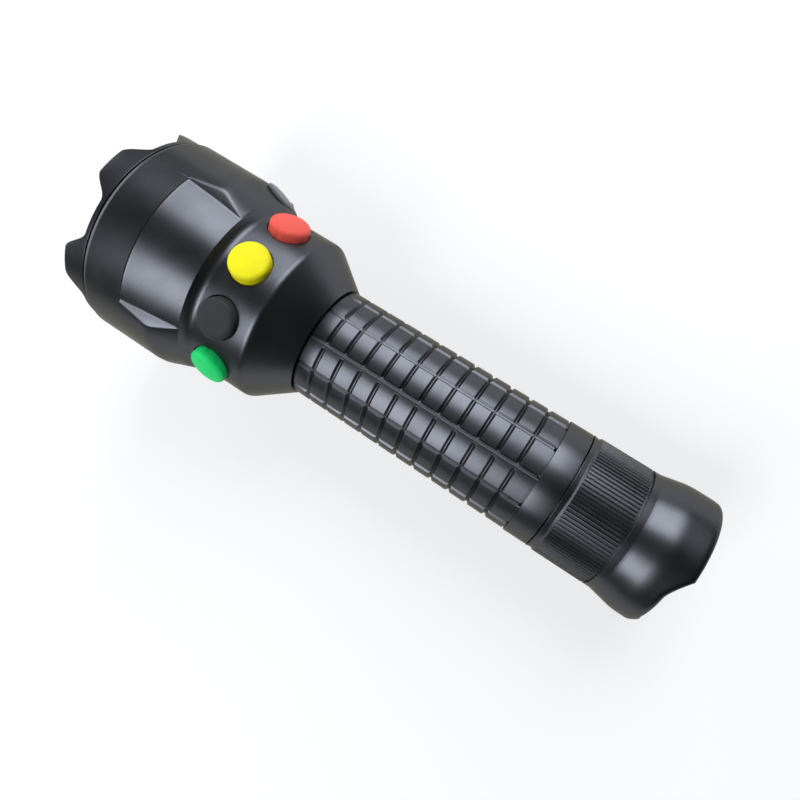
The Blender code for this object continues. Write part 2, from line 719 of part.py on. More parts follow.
def seal_groove(station):
    """Outline points of a seal's groove in a spigot, from the rear forwards."""
    half = SEAL_WIRE + GAP / 2
    floor = spigot_radius - 2 * SEAL_WIRE
    return [(spigot_radius, station + half), (floor, station + half), (floor, station - half),
            (spigot_radius, station - half)]


def tube_radius(station):
    """Return the grip's outer radius, which swells slightly towards the tail."""
    return tube_front_radius + TUBE_SWELL * (station - tube_front) / (tube_rear - tube_front)


def grip_outline():
    """Outside of the tube from the tail forwards, with its ring grooves, then its bore."""
    collar_radius = tube_rear_radius + COLLAR_RISE
    points = [(spigot_radius, tube_tip), *seal_groove(rear_seal_place), (spigot_radius, tube_rear),
              (collar_radius - EDGE_CHAMFER, tube_rear), (collar_radius, tube_rear - EDGE_CHAMFER),
              (collar_radius, blocks_end), (tube_radius(blocks_end), blocks_end - EDGE_CHAMFER)]
    for i in reversed(range(RING_GROOVES)):
        station = first_groove + i * groove_pitch
        radius = tube_radius(station)
        points += [(radius, station + GROOVE_WIDTH / 2), (radius - RING_GROOVE_DEPTH, station),
                   (radius, station - GROOVE_WIDTH / 2)]
    points += [(tube_front_radius, tube_front), (spigot_radius, tube_front),
               *seal_groove(front_seal_place), (spigot_radius, tube_start),
               (cell_bore, tube_start), (cell_bore, tube_tip)]
    return points


def make_grip():
    """Battery tube with a block pattern between ring grooves and lengthwise grooves."""
    tube = turned("grip_tube", grip_outline(), axial(), ANODISED, GRIP_SEGMENTS)
    slope = TUBE_SWELL / (tube_rear - tube_front)

    def bars(shape):
        """Square bars on edge, sunk to the grooves' depth and following the swell."""
        half = GROOVE_WIDTH / sqrt(2)
        for i in range(LONG_GROOVES):
            start, end = tube_front - OVERRUN, blocks_end - 2 * EDGE_CHAMFER
            placing = Matrix.Rotation(2 * pi * i / LONG_GROOVES, 4, "Z") @ Matrix.Translation(
                (tube_front_radius, 0, 0))
            corners = add_box(shape, (-half, -half, start), (half, half, end))
            quarter = Matrix.Rotation(pi / 4, 4, "Z")
            for corner in corners:
                turned_corner = quarter @ corner.co
                depth = LONG_GROOVE_DEPTH - half * sqrt(2)
                turned_corner.x += slope * (corner.co.z - tube_front) - depth
                corner.co = placing @ turned_corner
    tool = add("long_grooves", solid_mesh("long_grooves", bars), axial())
    combine(tube, tool)
    seal("neck_seal", spigot_radius - SEAL_WIRE + GAP / 2, front_seal_place)
    seal("tail_seal", spigot_radius - SEAL_WIRE + GAP / 2, rear_seal_place)


def make_cell():
    """Round lithium cell with its raised positive end towards the head."""
    edge = EDGE_CHAMFER
    outline = [(0, cell_rear), (CELL_RADIUS - edge, cell_rear), (CELL_RADIUS, cell_rear - edge),
               (CELL_RADIUS, cell_front + CELL_NUB_HEIGHT + edge),
               (CELL_RADIUS - edge, cell_front + CELL_NUB_HEIGHT),
               (CELL_NUB_RADIUS, cell_front + CELL_NUB_HEIGHT), (CELL_NUB_RADIUS, cell_front),
               (0, cell_front)]
    turned("battery_cell", outline, axial(), CELL_WRAP)


def cap_outline():
    """Solid of the tail cap's outside, from its rim forwards."""
    bulge = arc(tail_radius - END_ROUNDING, tail_end - END_ROUNDING, END_ROUNDING, END_ROUNDING,
                pi / 2, 0, DOME_STEPS)
    flare = [(cap_radius + FLARE_RISE * (1 - cos(pi * s / ARC_STEPS)) / 2,
              flare_front + FLARE_LENGTH * s / ARC_STEPS) for s in range(ARC_STEPS, -1, -1)]
    root = cap_radius - KNURL_DEPTH - GAP
    relief = cap_radius - RELIEF_DEPTH
    return [(0, tail_end), *bulge, *flare, (cap_radius, relief_rear), (relief, relief_rear),
            (relief, knurl_rear), (root, knurl_rear), (root, knurl_front), (cap_radius, knurl_front),
            (cap_radius, cap_front + EDGE_CHAMFER), (cap_radius - EDGE_CHAMFER, cap_front),
            (0, cap_front)]


def cap_bore_outline():
    """Solid of everything hollow in the tail cap."""
    rear, front = tail_end + OVERRUN, cap_front - OVERRUN
    return [(0, rear), (recess_radius, rear), (recess_radius, recess_floor), (boot_hole, recess_floor),
            (boot_hole, chamber_end), (chamber_radius, chamber_end), (chamber_radius, chamber_start),
            (cap_bore, chamber_start), (cap_bore, front), (0, front)]


def knurl_tool():
    """Ribbed drum that gives the cap its straight knurl."""
    tip, root = cap_radius - KNURL_INSET, cap_radius - KNURL_DEPTH

    def build(shape):
        overlap = GAP / 2
        add_rod(shape, tip, knurl_front - overlap, knurl_rear + overlap, 2 * KNURL_RIBS)
        for corner in shape.verts:
            turn = round(atan2(corner.co.y, corner.co.x) * KNURL_RIBS / pi)
            if turn % 2:
                corner.co.x *= root / tip
                corner.co.y *= root / tip
    return add("knurl_ribs", solid_mesh("knurl_ribs", build), axial())


def make_cap():
    """Tail cap with knurl, flare, rim notches and the recess for the tail button."""
    cap = turned("tail_cap", cap_outline(), axial(), ANODISED, SHELL_SEGMENTS)
    combine(cap, knurl_tool(), "UNION")
    combine(cap, turned("cap_hollow", cap_bore_outline(), axial(), segments=SHELL_SEGMENTS))
    floor_width = tooth_gap_width(tail_radius, NOTCH_FLOOR_ANGLE)
    mouth_width = tooth_gap_width(tail_radius, NOTCH_MOUTH_ANGLE)
    slope = (mouth_width - floor_width) / NOTCH_DEPTH
    wide = mouth_width + slope * OVERRUN
    for i in range(NOTCHES):
        notch = wedge_bar(f"rim_notch_{i + 1}", floor_width, wide, tail_end - NOTCH_DEPTH,
                          tail_end + OVERRUN, tail_radius + OVERRUN,
                          axial(NOTCH_ANGLE + 2 * pi * i / NOTCHES))
        combine(cap, notch)


def make_tail_contacts():
    """Contact board, switch and its retaining ring inside the tail cap."""
    rod("tail_contact_board", cap_bore - GAP, board_front, board_rear, axial(), BOARD)
    half = TAIL_SWITCH_SIDE / 2
    switch = box("tail_switch", (-half, -half, tail_switch_front), (half, half, tail_switch_rear),
                 axial(), SWITCH_PLASTIC)
    plunger = rod("tail_plunger", TAIL_PLUNGER_RADIUS, tail_switch_rear - GAP, tail_plunger_end,
                  axial(), segments=ROD_SEGMENTS)
    combine(switch, plunger, "UNION")
    turned("switch_retainer",
           ring_outline(retainer_bore, chamber_radius - GAP, retainer_front, retainer_rear),
           axial(), ALUMINIUM)


def make_boot():
    """Rubber tail button with a flange inside the cap's end wall."""
    top = recess_floor + BOOT_RISE
    dome = arc(0, recess_floor, boot_radius, top - recess_floor, pi / 2, 0)[1:]
    outline = [(0, top), *dome, (boot_radius, boot_flange_rear), (boot_flange_radius, boot_flange_rear),
               (boot_flange_radius, boot_flange_front), (BOOT_STEM_RADIUS, boot_flange_front),
               (BOOT_STEM_RADIUS, boot_stem_end), (0, boot_stem_end)]
    turned("tail_boot", outline, axial(), RUBBER)


def make_spring():
    """Tapered coil between the cell and the tail contact board."""
    start = cell_rear + GAP + SPRING_WIRE
    end = board_front - GAP - SPRING_WIRE
    count = SPRING_TURNS * SPRING_TURN_POINTS
    curve = bpy.data.curves.new("tail_spring", "CURVE")
    curve.dimensions = "3D"
    curve.bevel_depth = SPRING_WIRE
    curve.bevel_resolution = 1
    curve.use_fill_caps = True
    line = curve.splines.new("POLY")
    line.points.add(count)
    for i, point in enumerate(line.points):
        share = i / count
        radius = SPRING_TIP_RADIUS + (SPRING_RADIUS - SPRING_TIP_RADIUS) * share
        turn = 2 * pi * SPRING_TURNS * share
        point.co = (radius * cos(turn), radius * sin(turn), start + (end - start) * share, 1)
    add("tail_spring", curve, axial(), STEEL)


clear_scene()
PARTS = new_collection("signal_lamp")
CUTTERS = new_collection("cutters")
LAMP = bpy.data.objects.new("lamp_middle", None)
PARTS.objects.link(LAMP)
LAMP.location.x = -middle
bpy.context.view_layer.update()

ANODISED = finish("black_anodised", (0.035, 0.036, 0.04), 0.42, 0.6)
ALUMINIUM = finish("bare_aluminium", (0.7, 0.71, 0.73), 0.35, 1.0)
STEEL = finish("plated_steel", (0.62, 0.62, 0.62), 0.3, 1.0)
BRASS = finish("gold_plated_brass", (0.83, 0.62, 0.25), 0.3, 1.0)
MIRRORED = finish("mirrored_bowl", (0.9, 0.9, 0.92), 0.08, 1.0)
GLASS = finish("lens_glass", (0.9, 0.95, 0.96), 0.03, 0.0, 0.3)
RUBBER = finish("black_rubber", (0.045, 0.046, 0.05), 0.65)
SEAL_RUBBER = finish("seal_rubber", (0.02, 0.02, 0.02), 0.5)
RED = finish("red_rubber", (0.9, 0.09, 0.07), 0.5)
YELLOW = finish("yellow_rubber", (0.95, 0.9, 0.01), 0.5)
GREEN = finish("green_rubber", (0.01, 0.75, 0.16), 0.5)
BOARD = finish("circuit_board", (0.03, 0.2, 0.09), 0.45)
SWITCH_PLASTIC = finish("black_plastic", (0.03, 0.03, 0.03), 0.5)
CELL_WRAP = finish("cell_wrap", (0.06, 0.25, 0.55), 0.35)
LED_FINISHES = {
    "white_led": finish("white_emitter", (0.95, 0.9, 0.55), 0.3),
    "red_led": finish("red_emitter", (0.9, 0.1, 0.08), 0.3),
    "yellow_led": finish("yellow_emitter", (0.95, 0.7, 0.05), 0.3),
    "green_led": finish("green_emitter", (0.1, 0.8, 0.2), 0.3),
}
BUTTON_FINISHES = {"red": RED, "yellow": YELLOW, "white": RUBBER, "green": GREEN}
BUTTON_ANGLES = {
    "red": button_spacing * 3 / 2,
    "yellow": button_spacing / 2,
    "white": -button_spacing / 2,
    "green": -button_spacing * 3 / 2,
}

make_bezel()
make_lens()
make_reflector()
make_leds()
make_led_board()
make_head()
make_buttons()
make_carrier()
make_charger()
make_driver()
make_leads()
make_grip()
make_cell()
make_cap()
make_tail_contacts()
make_boot()
make_spring()
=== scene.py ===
"""Looks of the pocket signal lamp: fine machined shells, rubber buttons, finishes and a studio.

The lamp lies along X with its head towards -X. A station is a distance back from the front face
of the head, and an angle round the axis starts at +Z and grows towards +Y.
"""
from math import asin, atan, atan2, cos, hypot, pi, radians, sin, sqrt, tan

import bpy
from bpy.props import FloatProperty, FloatVectorProperty, IntProperty, PointerProperty
from mathutils import Matrix, Vector


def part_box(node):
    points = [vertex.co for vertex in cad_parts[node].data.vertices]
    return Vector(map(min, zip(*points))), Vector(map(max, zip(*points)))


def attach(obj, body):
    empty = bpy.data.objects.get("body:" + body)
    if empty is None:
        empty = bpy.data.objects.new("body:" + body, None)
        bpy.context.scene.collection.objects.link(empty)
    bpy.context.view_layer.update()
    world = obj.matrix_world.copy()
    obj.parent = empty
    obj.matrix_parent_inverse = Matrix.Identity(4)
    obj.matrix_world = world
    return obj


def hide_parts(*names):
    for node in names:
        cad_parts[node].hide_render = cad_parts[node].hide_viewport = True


bl_info = {
    "name": "Signal Lamp Looks",
    "version": (1, 0, 0),
    "blender": (4, 5, 0),
    "location": "View3D > Sidebar > Signal Lamp",
    "description": "Builds the visible shells, buttons and finishes of a pocket signal lamp",
    "category": "Add Mesh",
}

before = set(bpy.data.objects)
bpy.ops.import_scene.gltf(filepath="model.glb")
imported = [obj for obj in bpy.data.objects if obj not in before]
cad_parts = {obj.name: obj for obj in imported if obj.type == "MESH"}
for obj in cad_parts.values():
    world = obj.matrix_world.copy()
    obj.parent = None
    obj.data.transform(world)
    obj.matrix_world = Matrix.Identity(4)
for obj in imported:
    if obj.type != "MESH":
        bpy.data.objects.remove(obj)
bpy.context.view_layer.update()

MM = 0.001
MERGE = 0.001 * MM
EDGE_STEPS = 4
SMOOTH_ANGLE = radians(40)
HOLLOW_SHARE = 0.45
SUPPORT = 0.1 * MM
SMALL_COLUMNS = 72

HEAD_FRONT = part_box("head_housing")[0].x


def extent(node):
    """Return a node's front and rear stations and its radius."""
    low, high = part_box(node)
    return low.x - HEAD_FRONT, high.x - HEAD_FRONT, high.y


# Places that the frame gives
HEAD_REAR, HEAD_RADIUS = extent("head_housing")[1:]
TOOTH_TIP, BEZEL_REAR, BEZEL_RADIUS = extent("bezel_ring")
TUBE_START, TUBE_TIP = extent("grip_tube")[:2]
CAP_FRONT, TAIL_END, TAIL_RADIUS = extent("tail_cap")

# Head
BARREL_END = 19.4 * MM
BARREL_ROUNDING = 1.4 * MM
SHOULDER = 26.3 * MM
SHOULDER_RADIUS = 23.35 * MM
LIP_CORNER = 27.55 * MM
LIP_END = 29 * MM
RING_FRONT = 29.8 * MM
RING_REAR = 42.8 * MM
RING_RADIUS = 21.65 * MM
RING_BORE = 19.45 * MM
NECK_RADIUS = 14.5 * MM
NECK_BORE = 12.9 * MM
LENS_BORE = 24 * MM
LENS_SEAT = 8.5 * MM
MAIN_BORE = 21.8 * MM
SHELF = 24.5 * MM
RIM_EDGE = 0.3 * MM
RIM_RAMP = 0.65 * MM
RIM_SLOPE = radians(25)
SEAM_EDGE = 0.1 * MM
RING_REAR_ROUNDING = 0.8 * MM
POCKET_FRONT = 11.1 * MM
POCKET_STEP = 0.3 * MM
POCKET_FRONT_RADIUS = 25.8 * MM
POCKET_WALL_LEAST = 0.15 * MM
POCKET_ZONE = radians(10)
WALL_COLUMNS = 8
CREST_COLUMNS = 4
ZONE_COLUMNS = 15
WALL_SWEEP = radians(68)
CREST_ROUNDING = 0.55 * MM
POCKET_ROWS = 0.45 * MM
CONE_ROWS = 2 * MM
FRONT_ROWS = 3 * MM
LIP_STEPS = 14
RING_STEPS = 6
BARREL_STEPS = 10
SWEEP_STEPS = 5
FLOOR_COLUMNS = 26
SIDE_COLUMNS = 50
CUTTER_REACH = 3 * MM

# Buttons
BUTTON_STATION = 35 * MM
BUTTON_FORWARD = 0.5 * MM
BUTTON_HOLE = 5.1 * MM
HOLE_CHAMFER = 0.04 * MM
FLANGE_TOP = 18.37 * MM
FLANGE_BOTTOM = 17.57 * MM
FLANGE_RADIUS = 5.45 * MM
STEM_END = 15.37 * MM
STEM_RADIUS = 1.8 * MM
BUTTON_STEPS = 8
BUTTON_ANGLES = {
    "red": radians(56.271),
    "yellow": radians(18.757),
    "white": radians(-18.757),
    "green": radians(-56.271),
}

# Charging socket's plug
PLUG_ANGLE = radians(110)
PLUG_STATION = 22.9 * MM
PLUG_LENGTH = 6.2 * MM
PLUG_NEAR_ANGLE = radians(78)
PLUG_FAR_ANGLE = radians(122.3)
PLUG_LIFT = 0.05 * MM
PLUG_THICKNESS = 0.95 * MM
PLUG_CORNER = 2.4 * MM
PLUG_EDGE = 0.45 * MM
PLUG_PILLOW = 0.35 * MM
PLUG_SLICES = 24
PLUG_ROWS = 8
PLUG_STEM_FOOT = 22.1 * MM
SLOT_LENGTH = 3 * MM
SLOT_WIDTH = 9.4 * MM
SLOT_GAP = 0.3 * MM
SLOT_REACH = 4 * MM

# Bezel, lens and light engine
BEZEL_BORE = 21.6 * MM
BEZEL_SPIGOT = 23.7 * MM
BEZEL_SEAM = 0.55 * MM
TOOTH_ROOT = 0.9 * MM
TOOTH_EDGE = 0.5 * MM
BEZEL_ROWS = 1.2 * MM
BEZEL_COLUMNS = 300
SEAL_GAP = 0.3 * MM
LENS_FRONT = 4.5 * MM
LENS_REAR = 6.7 * MM
LENS_RADIUS = 23.7 * MM
LENS_COLUMNS = 144
BOWL_FRONT = 7 * MM
BOWL_FLANGE = 8.2 * MM
BOWL_REAR = 17.8 * MM
BOWL_MOUTH = 20.7 * MM
BOWL_WALL = 0.8 * MM
BOWL_STEPS = 28
BOWL_CURVE = 1.5
BOWL_COLUMNS = 120
EMITTER_FRONT = 18.1 * MM
EMITTER_REAR = 19 * MM
EMITTER_PITCH = 3.9 * MM
EMITTER_SIDE = 3.45 * MM
EMITTER_DOME = 1.3 * MM
EMITTER_EDGE = 0.12 * MM
DOME_STEPS = 8
DOME_COLUMNS = 36
# Each emitter's place up and sideways, and its colour
EMITTERS = {
    "white": (1, 1, (0.9, 0.85, 0.45)),
    "red": (1, -1, (0.75, 0.08, 0.05)),
    "yellow": (-1, 1, (0.9, 0.5, 0.05)),
    "green": (-1, -1, (0.1, 0.55, 0.2)),
}

# Grip
TUBE_FRONT = 52.7 * MM
TUBE_FRONT_RADIUS = 14.1 * MM
TUBE_REAR = 118 * MM
TUBE_REAR_RADIUS = 14.6 * MM
COLLAR_RADIUS = 14.75 * MM
BLOCKS_END = 111.9 * MM
COLLAR_EDGE = 0.25 * MM
COLLAR_FLOOR = 0.2 * MM
FACE_SHARE = 0.3
FIRST_GROOVE = 56.98 * MM
GROOVE_PITCH = 4.975 * MM
RING_GROOVES = 11
LONG_GROOVES = 12
FIRST_LONG_GROOVE = radians(2.6)
RIDGE_ANGLE = radians(0.2)
RIDGE_HALF_WIDTH = 0.45 * MM
RIDGES = 2
RING_FLOOR_SHARE = 0.12
# Rows of a ring groove towards its middle, as shares of half its width
GROOVE_ROWS = (1.25, 1.04, 1.0, 0.86, 0.72, 0.6, 0.48, 0.36, RING_FLOOR_SHARE)
GROOVE_MARGIN = 1.3
LONG_WALL_COLUMNS = 4
BLOCK_COLUMNS = 5
RIDGE_COLUMNS = 16
LEAST_COLUMN = radians(0.12)
LONG_FLOOR_SHARE = 0.3
RIDGE_FLOOR_SHARE = 0.2
RIDGE_GROOVE_WIDTH = 0.95 * MM
SPIGOT_RADIUS = 12.6 * MM
TUBE_BORE = 9.7 * MM
FRONT_SEAL = 50.6 * MM
REAR_SEAL = 120.6 * MM
SEAL_WIRE = 0.5 * MM
SEAL_PLAY = 0.15 * MM
SEAL_STEPS = 14
THREAD_START = 121.7 * MM
THREAD_PITCH = 1.5 * MM
THREAD_DEPTH = 0.35 * MM
THREAD_ROWS = 0.25 * MM

# Tail cap
CAP_RADIUS = 15 * MM
CAP_ROWS = 0.9 * MM
RIB_COLUMNS = 4
RIB_END_SHARE = 0.2
RELIEF_EDGE_SHARE = 0.1
KNURL_FRONT = 120.1 * MM
KNURL_REAR = 132.7 * MM
RELIEF_REAR = 133.3 * MM
RELIEF_DEPTH = 0.55 * MM
FLARE_FRONT = 135 * MM
FLARE_REAR = 141.2 * MM
RIM_ROUNDING = 1.7 * MM
RIM_INNER_ROUNDING = 1.1 * MM
FLARE_ROUNDING = 1.6 * MM
LAND_FRONT_RADIUS = 14.86 * MM
LAND_REAR_RADIUS = 14.6 * MM
LAND_RAMP = 0.5 * MM
LAND_SUPPORT = 0.08 * MM
LAND_STEPS = 3
RIM_STEPS = 8
NOTCH_CURVE = 1.5
NOTCH_FOOT = 0.4 * MM
RECESS_RADIUS = 13.6 * MM
RECESS_FLOOR = 143.7 * MM
CHAMBER_END = 140.7 * MM
BOOT_HOLE = 6.2 * MM
CHAMBER_RADIUS = 10.5 * MM
CHAMBER_START = 127.2 * MM
CAP_BORE = 12.9 * MM
BOOT_RADIUS = 5.9 * MM
BOOT_TOP = 146.3 * MM
BOOT_FLANGE_RADIUS = 7 * MM
BOOT_FLANGE_REAR = 140.4 * MM
BOOT_FLANGE_FRONT = 139.4 * MM
BOOT_STEM_END = 137.3 * MM
BOOT_STEM_RADIUS = 1.6 * MM
BOOT_STEPS = 14
BOOT_CURVE = 0.9

# Finishes
NOISE_LOW = 0.3
NOISE_HIGH = 0.7
MASK_GREEN = (0.02, 0.16, 0.06)
PLASTIC_BLACK = (0.025, 0.025, 0.027)
FILM_DARK = (0.035, 0.15, 0.42)
FILM_LIGHT = (0.05, 0.2, 0.5)
GLASS_CLEAR = (0.96, 0.985, 0.98)
BOWL_SILVER = (0.88, 0.89, 0.9)
SEAL_BLACK = (0.015, 0.015, 0.016)
ALUMINIUM = (0.72, 0.73, 0.75)
STEEL = (0.6, 0.6, 0.6)
BRASS = (0.83, 0.6, 0.24)

# Studio: each softbox by its length and width, and the camera fitted to the photo
FLOOR_SIZE = 6
FLOOR_WHITE = (0.8, 0.8, 0.8)
FLOOR_SHADOWED = (0.4, 0.4, 0.4)
FLOOR_GLOW = 0.62
FLOOR_STRETCH = (0.4, 1, 1)
COVE_WHITE = (0.96, 0.97, 1.0)
SOFTBOX_WHITE = (0.93, 0.96, 1.0)
SOFTBOXES = {
    "far_softbox": (0.44, 0.58),
    "near_softbox": (0.33, 0.42),
    "front_softbox": (0.36, 1.0),
}
CAMERA_PLACE = (0.0316, 0.0107, 0.1604)
CAMERA_RIGHT = (0.83149, 0.52393, -0.18468)
CAMERA_UP = (-0.52953, 0.84800, 0.02166)
SENSOR_WIDTH = 36


def setting(kind, **limits):
    """Return a function that makes a setting of a kind from a hint and a default."""
    def make(hint, default):
        return kind(description=hint, default=default, **limits)
    return make


sized = setting(FloatProperty, unit="LENGTH")
angled = setting(FloatProperty, unit="ROTATION")
counted = setting(IntProperty, min=3)
measured = setting(FloatProperty, min=0)
coloured = setting(FloatVectorProperty, subtype="COLOR", size=3, min=0, max=1)


class SignalLampShape(bpy.types.PropertyGroup):
    """Sizes of the machined details."""
    pocket_half_angle: angled("From the middle of a finger pocket to its floor's edge", radians(38))
    pocket_wall: angled("Slope of a finger pocket's side walls against its floor", radians(30))
    edge_rounding: sized("Rounding of the machined edges", 0.3 * MM)
    teeth: counted("Number of teeth on the bezel", 6)
    tooth_height: sized("From the valleys of the bezel to the tips", 4.5 * MM)
    first_tooth: angled("Angle of the first tooth", radians(24))
    tooth_plateau: angled("Half the angle that a tooth's tip spans", radians(7.5))
    tooth_slope: angled("Angle over which a tooth falls to the valley", radians(13))
    ring_groove_width: sized("Width of the grip's ring grooves", 1.22 * MM)
    ring_groove_depth: sized("Depth of the grip's ring grooves", 0.6 * MM)
    long_groove_width: sized("Width of the grip's lengthwise grooves", 1.25 * MM)
    long_groove_depth: sized("Depth of the grip's lengthwise grooves", 0.46 * MM)
    knurl_ribs: counted("Number of straight ribs on the tail cap", 100)
    knurl_depth: sized("Depth of the grooves between the ribs", 0.22 * MM)
    notch_angle: angled("Angle of the first notch in the tail's rim", radians(-50))
    notch_depth: sized("Depth of the notches in the tail's rim", 3 * MM)
    notch_floor: angled("Half the angle of a notch's floor", radians(26))
    notch_slope: angled("Angle over which the rim rises from a notch", radians(23))
    button_radius: sized("Radius of the four round buttons", 5.03 * MM)
    button_rise: sized("How far the buttons stand out of the ring", 2.5 * MM)
    button_edge: sized("Rounding of the buttons' edge", 1.05 * MM)
    button_crown: sized("How far the buttons' tops bulge", 0.42 * MM)


class SignalLampColours(bpy.types.PropertyGroup):
    """Colours of the finishes."""
    anodised: coloured("Reflection of the black anodised shells", (0.088, 0.091, 0.102))
    anodised_rim: coloured("Tint of the shells seen along the surface", (0.62, 0.6, 0.52))
    red: coloured("Rubber of the red button", (0.88, 0.11, 0.08))
    yellow: coloured("Rubber of the yellow button", (0.94, 0.85, 0.006))
    green: coloured("Rubber of the green button", (0.01, 0.8, 0.19))
    black: coloured("Rubber of the white light's button", (0.032, 0.0335, 0.036))
    grey: coloured("Rubber of the charging socket's plug", (0.16, 0.18, 0.19))


class SignalLampStudio(bpy.types.PropertyGroup):
    """The softboxes and the camera."""
    softbox_distance: sized("From the lamp's middle to each softbox", 0.7)
    far_softbox_power: measured("Power of the far softbox in watts", 4.4)
    far_softbox_angle: angled("Angle of the far softbox from the zenith", radians(54))
    far_softbox_tilt: angled("Lean of the far softbox towards the lamp's head", radians(8))
    near_softbox_power: measured("Power of the near softbox in watts", 2.85)
    near_softbox_angle: angled("Angle of the near softbox from the zenith", radians(-37.5))
    near_softbox_tilt: angled("Lean of the near softbox towards the lamp's head", radians(11))
    front_softbox_power: measured("Power of the low softbox ahead of the lamp in watts", 3.2)
    front_softbox_angle: angled("Angle of the front softbox from the zenith", 0)
    front_softbox_tilt: angled("Lean of the front softbox from the zenith", radians(78))
    lens: measured("Focal length of the camera in millimetres", 30.43)


def lamp_shape():
    """Return the sizes of the machined details."""
    return bpy.context.scene.signal_lamp_shape


def lamp_colours():
    """Return the finishes' colours."""
    return bpy.context.scene.signal_lamp_colours


def wrapped(angle, turn=2 * pi):
    """Return an angle as the nearest one to zero within a turn."""
    return (angle + turn / 2) % turn - turn / 2


def clamped(share):
    """Return a share held between 0 and 1."""
    return min(max(share, 0.0), 1.0)


def eased(share):
    """Return a share from 0 to 1 with soft ends."""
    share = clamped(share)
    return share * share * (3 - 2 * share)


def deselect():
    """Leave edit mode and select nothing."""
    if bpy.context.object and bpy.context.object.mode != "OBJECT":
        bpy.ops.object.mode_set(mode="OBJECT")
    bpy.ops.object.select_all(action="DESELECT")


def choose(piece):
    """Select one object alone and make it active."""
    deselect()
    piece.select_set(True)
    bpy.context.view_layer.objects.active = piece


def nearer(corner, other, width):
    """Return the point a width from a corner towards another, at most part of the way."""
    reach = hypot(other[0] - corner[0], other[1] - corner[1])
    share = min(width / reach, HOLLOW_SHARE)
    return corner[0] + (other[0] - corner[0]) * share, corner[1] + (other[1] - corner[1]) * share


def bent(start, corner, end, steps):
    """Return points of a curve from start to end that is drawn towards a corner."""
    points = []
    for i in range(steps + 1):
        t = i / steps
        weights = ((1 - t) ** 2, 2 * t * (1 - t), t ** 2)
        points.append(tuple(sum(w * p[axis] for w, p in zip(weights, (start, corner, end)))
                            for axis in (0, 1)))
    return points


def rounded(corners, steps=EDGE_STEPS):
    """Return the points of an outline whose corners are (station, radius, rounding)."""
    points = []
    for i, (station, radius, width) in enumerate(corners):
        if width == 0:
            points.append((station, radius))
            continue
        before, after = corners[i - 1], corners[(i + 1) % len(corners)]
        corner = (station, radius)
        points += bent(nearer(corner, before, width), corner, nearer(corner, after, width), steps)
    return points


def divided(points, pitch):
    """Return an outline's points with its long steps divided."""
    result = [points[0]]
    for (s0, r0), (s1, r1) in zip(points, points[1:]):
        count = max(1, round(hypot(s1 - s0, r1 - r0) / pitch))
        result += [(s0 + (s1 - s0) * i / count, r0 + (r1 - r0) * i / count)
                   for i in range(1, count + 1)]
    return result


def stepped(radius, *steps):
    """Return an outline that goes from a radius through steps of (station, next radius)."""
    points = []
    for station, following in steps:
        points += [(station, radius), (station, following)]
        radius = following
    return points


def arc(centre, radius, start, end, steps):
    """Return points of an arc of (station, radius) round a centre."""
    angles = [start + (end - start) * i / steps for i in range(steps + 1)]
    return [(centre[0] + radius * sin(a), centre[1] + radius * cos(a)) for a in angles]


def turned(name, outline, sections, origin=HEAD_FRONT):
    """Draw an outline by extruding a point, and spin it about X in sections of (angle, steps)."""
    deselect()
    bpy.ops.mesh.primitive_plane_add(size=MM, enter_editmode=True)
    piece = bpy.context.object
    piece.name = name
    piece.data.name = name
    bpy.ops.mesh.select_mode(type="VERT")
    bpy.ops.mesh.select_all(action="SELECT")
    bpy.ops.mesh.merge(type="CENTER")
    bpy.ops.transform.translate(value=(origin + outline[0][0], 0, outline[0][1]))
    for (s0, r0), (s1, r1) in zip(outline, outline[1:]):
        bpy.ops.mesh.extrude_region_move(TRANSFORM_OT_translate={"value": (s1 - s0, 0, r1 - r0)})
    bpy.ops.mesh.select_all(action="SELECT")
    for angle, steps in sections:
        bpy.ops.mesh.spin(steps=steps, angle=angle, center=(0, 0, 0), axis=(1, 0, 0))
    bpy.ops.mesh.select_all(action="SELECT")
    bpy.ops.mesh.remove_doubles(threshold=MERGE)
    bpy.ops.mesh.normals_make_consistent(inside=False)
    bpy.ops.object.mode_set(mode="OBJECT")
    return piece


def closed(points):
    """Return an outline that ends where it starts."""
    return [*points, points[0]]


def spot(station, angle, radius):
    """Return the place of a station, an angle and a radius."""
    return HEAD_FRONT + station, radius * sin(angle), radius * cos(angle)


def reshape(piece, rule):
    """Move every vertex by a rule that takes and returns its station, angle and radius."""
    for vertex in piece.data.vertices:
        along, side, up = vertex.co
        vertex.co = spot(*rule(along - HEAD_FRONT, atan2(side, up), hypot(side, up)))
    piece.data.update()


def block(name, size, middle):
    """Return a box of a size whose middle is a distance out along X."""
    deselect()
    bpy.ops.mesh.primitive_cube_add(size=1)
    piece = bpy.context.object
    piece.name = piece.data.name = name
    piece.data.transform(Matrix.Diagonal((*size, 1)))
    piece.data.transform(Matrix.Translation((middle, 0, 0)))
    return piece


def settle(piece, placing):
    """Turn and move a piece, and apply its place to its mesh."""
    choose(piece)
    piece.matrix_world = placing
    bpy.ops.object.transform_apply(location=True, rotation=True, scale=True)


def outward(angle, station):
    """Return the placing that takes local X out from the axis, at an angle and a station."""
    out = Vector((0, sin(angle), cos(angle)))
    along = Vector((1, 0, 0))
    turn = Matrix((out, along, out.cross(along))).transposed()
    return Matrix.Translation((HEAD_FRONT + station, 0, 0)) @ turn.to_4x4()


def merged(pieces):
    """Join several objects into the first."""
    choose(pieces[0])
    for piece in pieces[1:]:
        piece.select_set(True)
    bpy.ops.object.join()
    return pieces[0]


def modify(piece, kind, **values):
    """Apply a modifier to a piece."""
    choose(piece)
    step = piece.modifiers.new(kind, kind)
    for key, value in values.items():
        setattr(step, key, value)
    bpy.ops.object.modifier_apply(modifier=step.name)


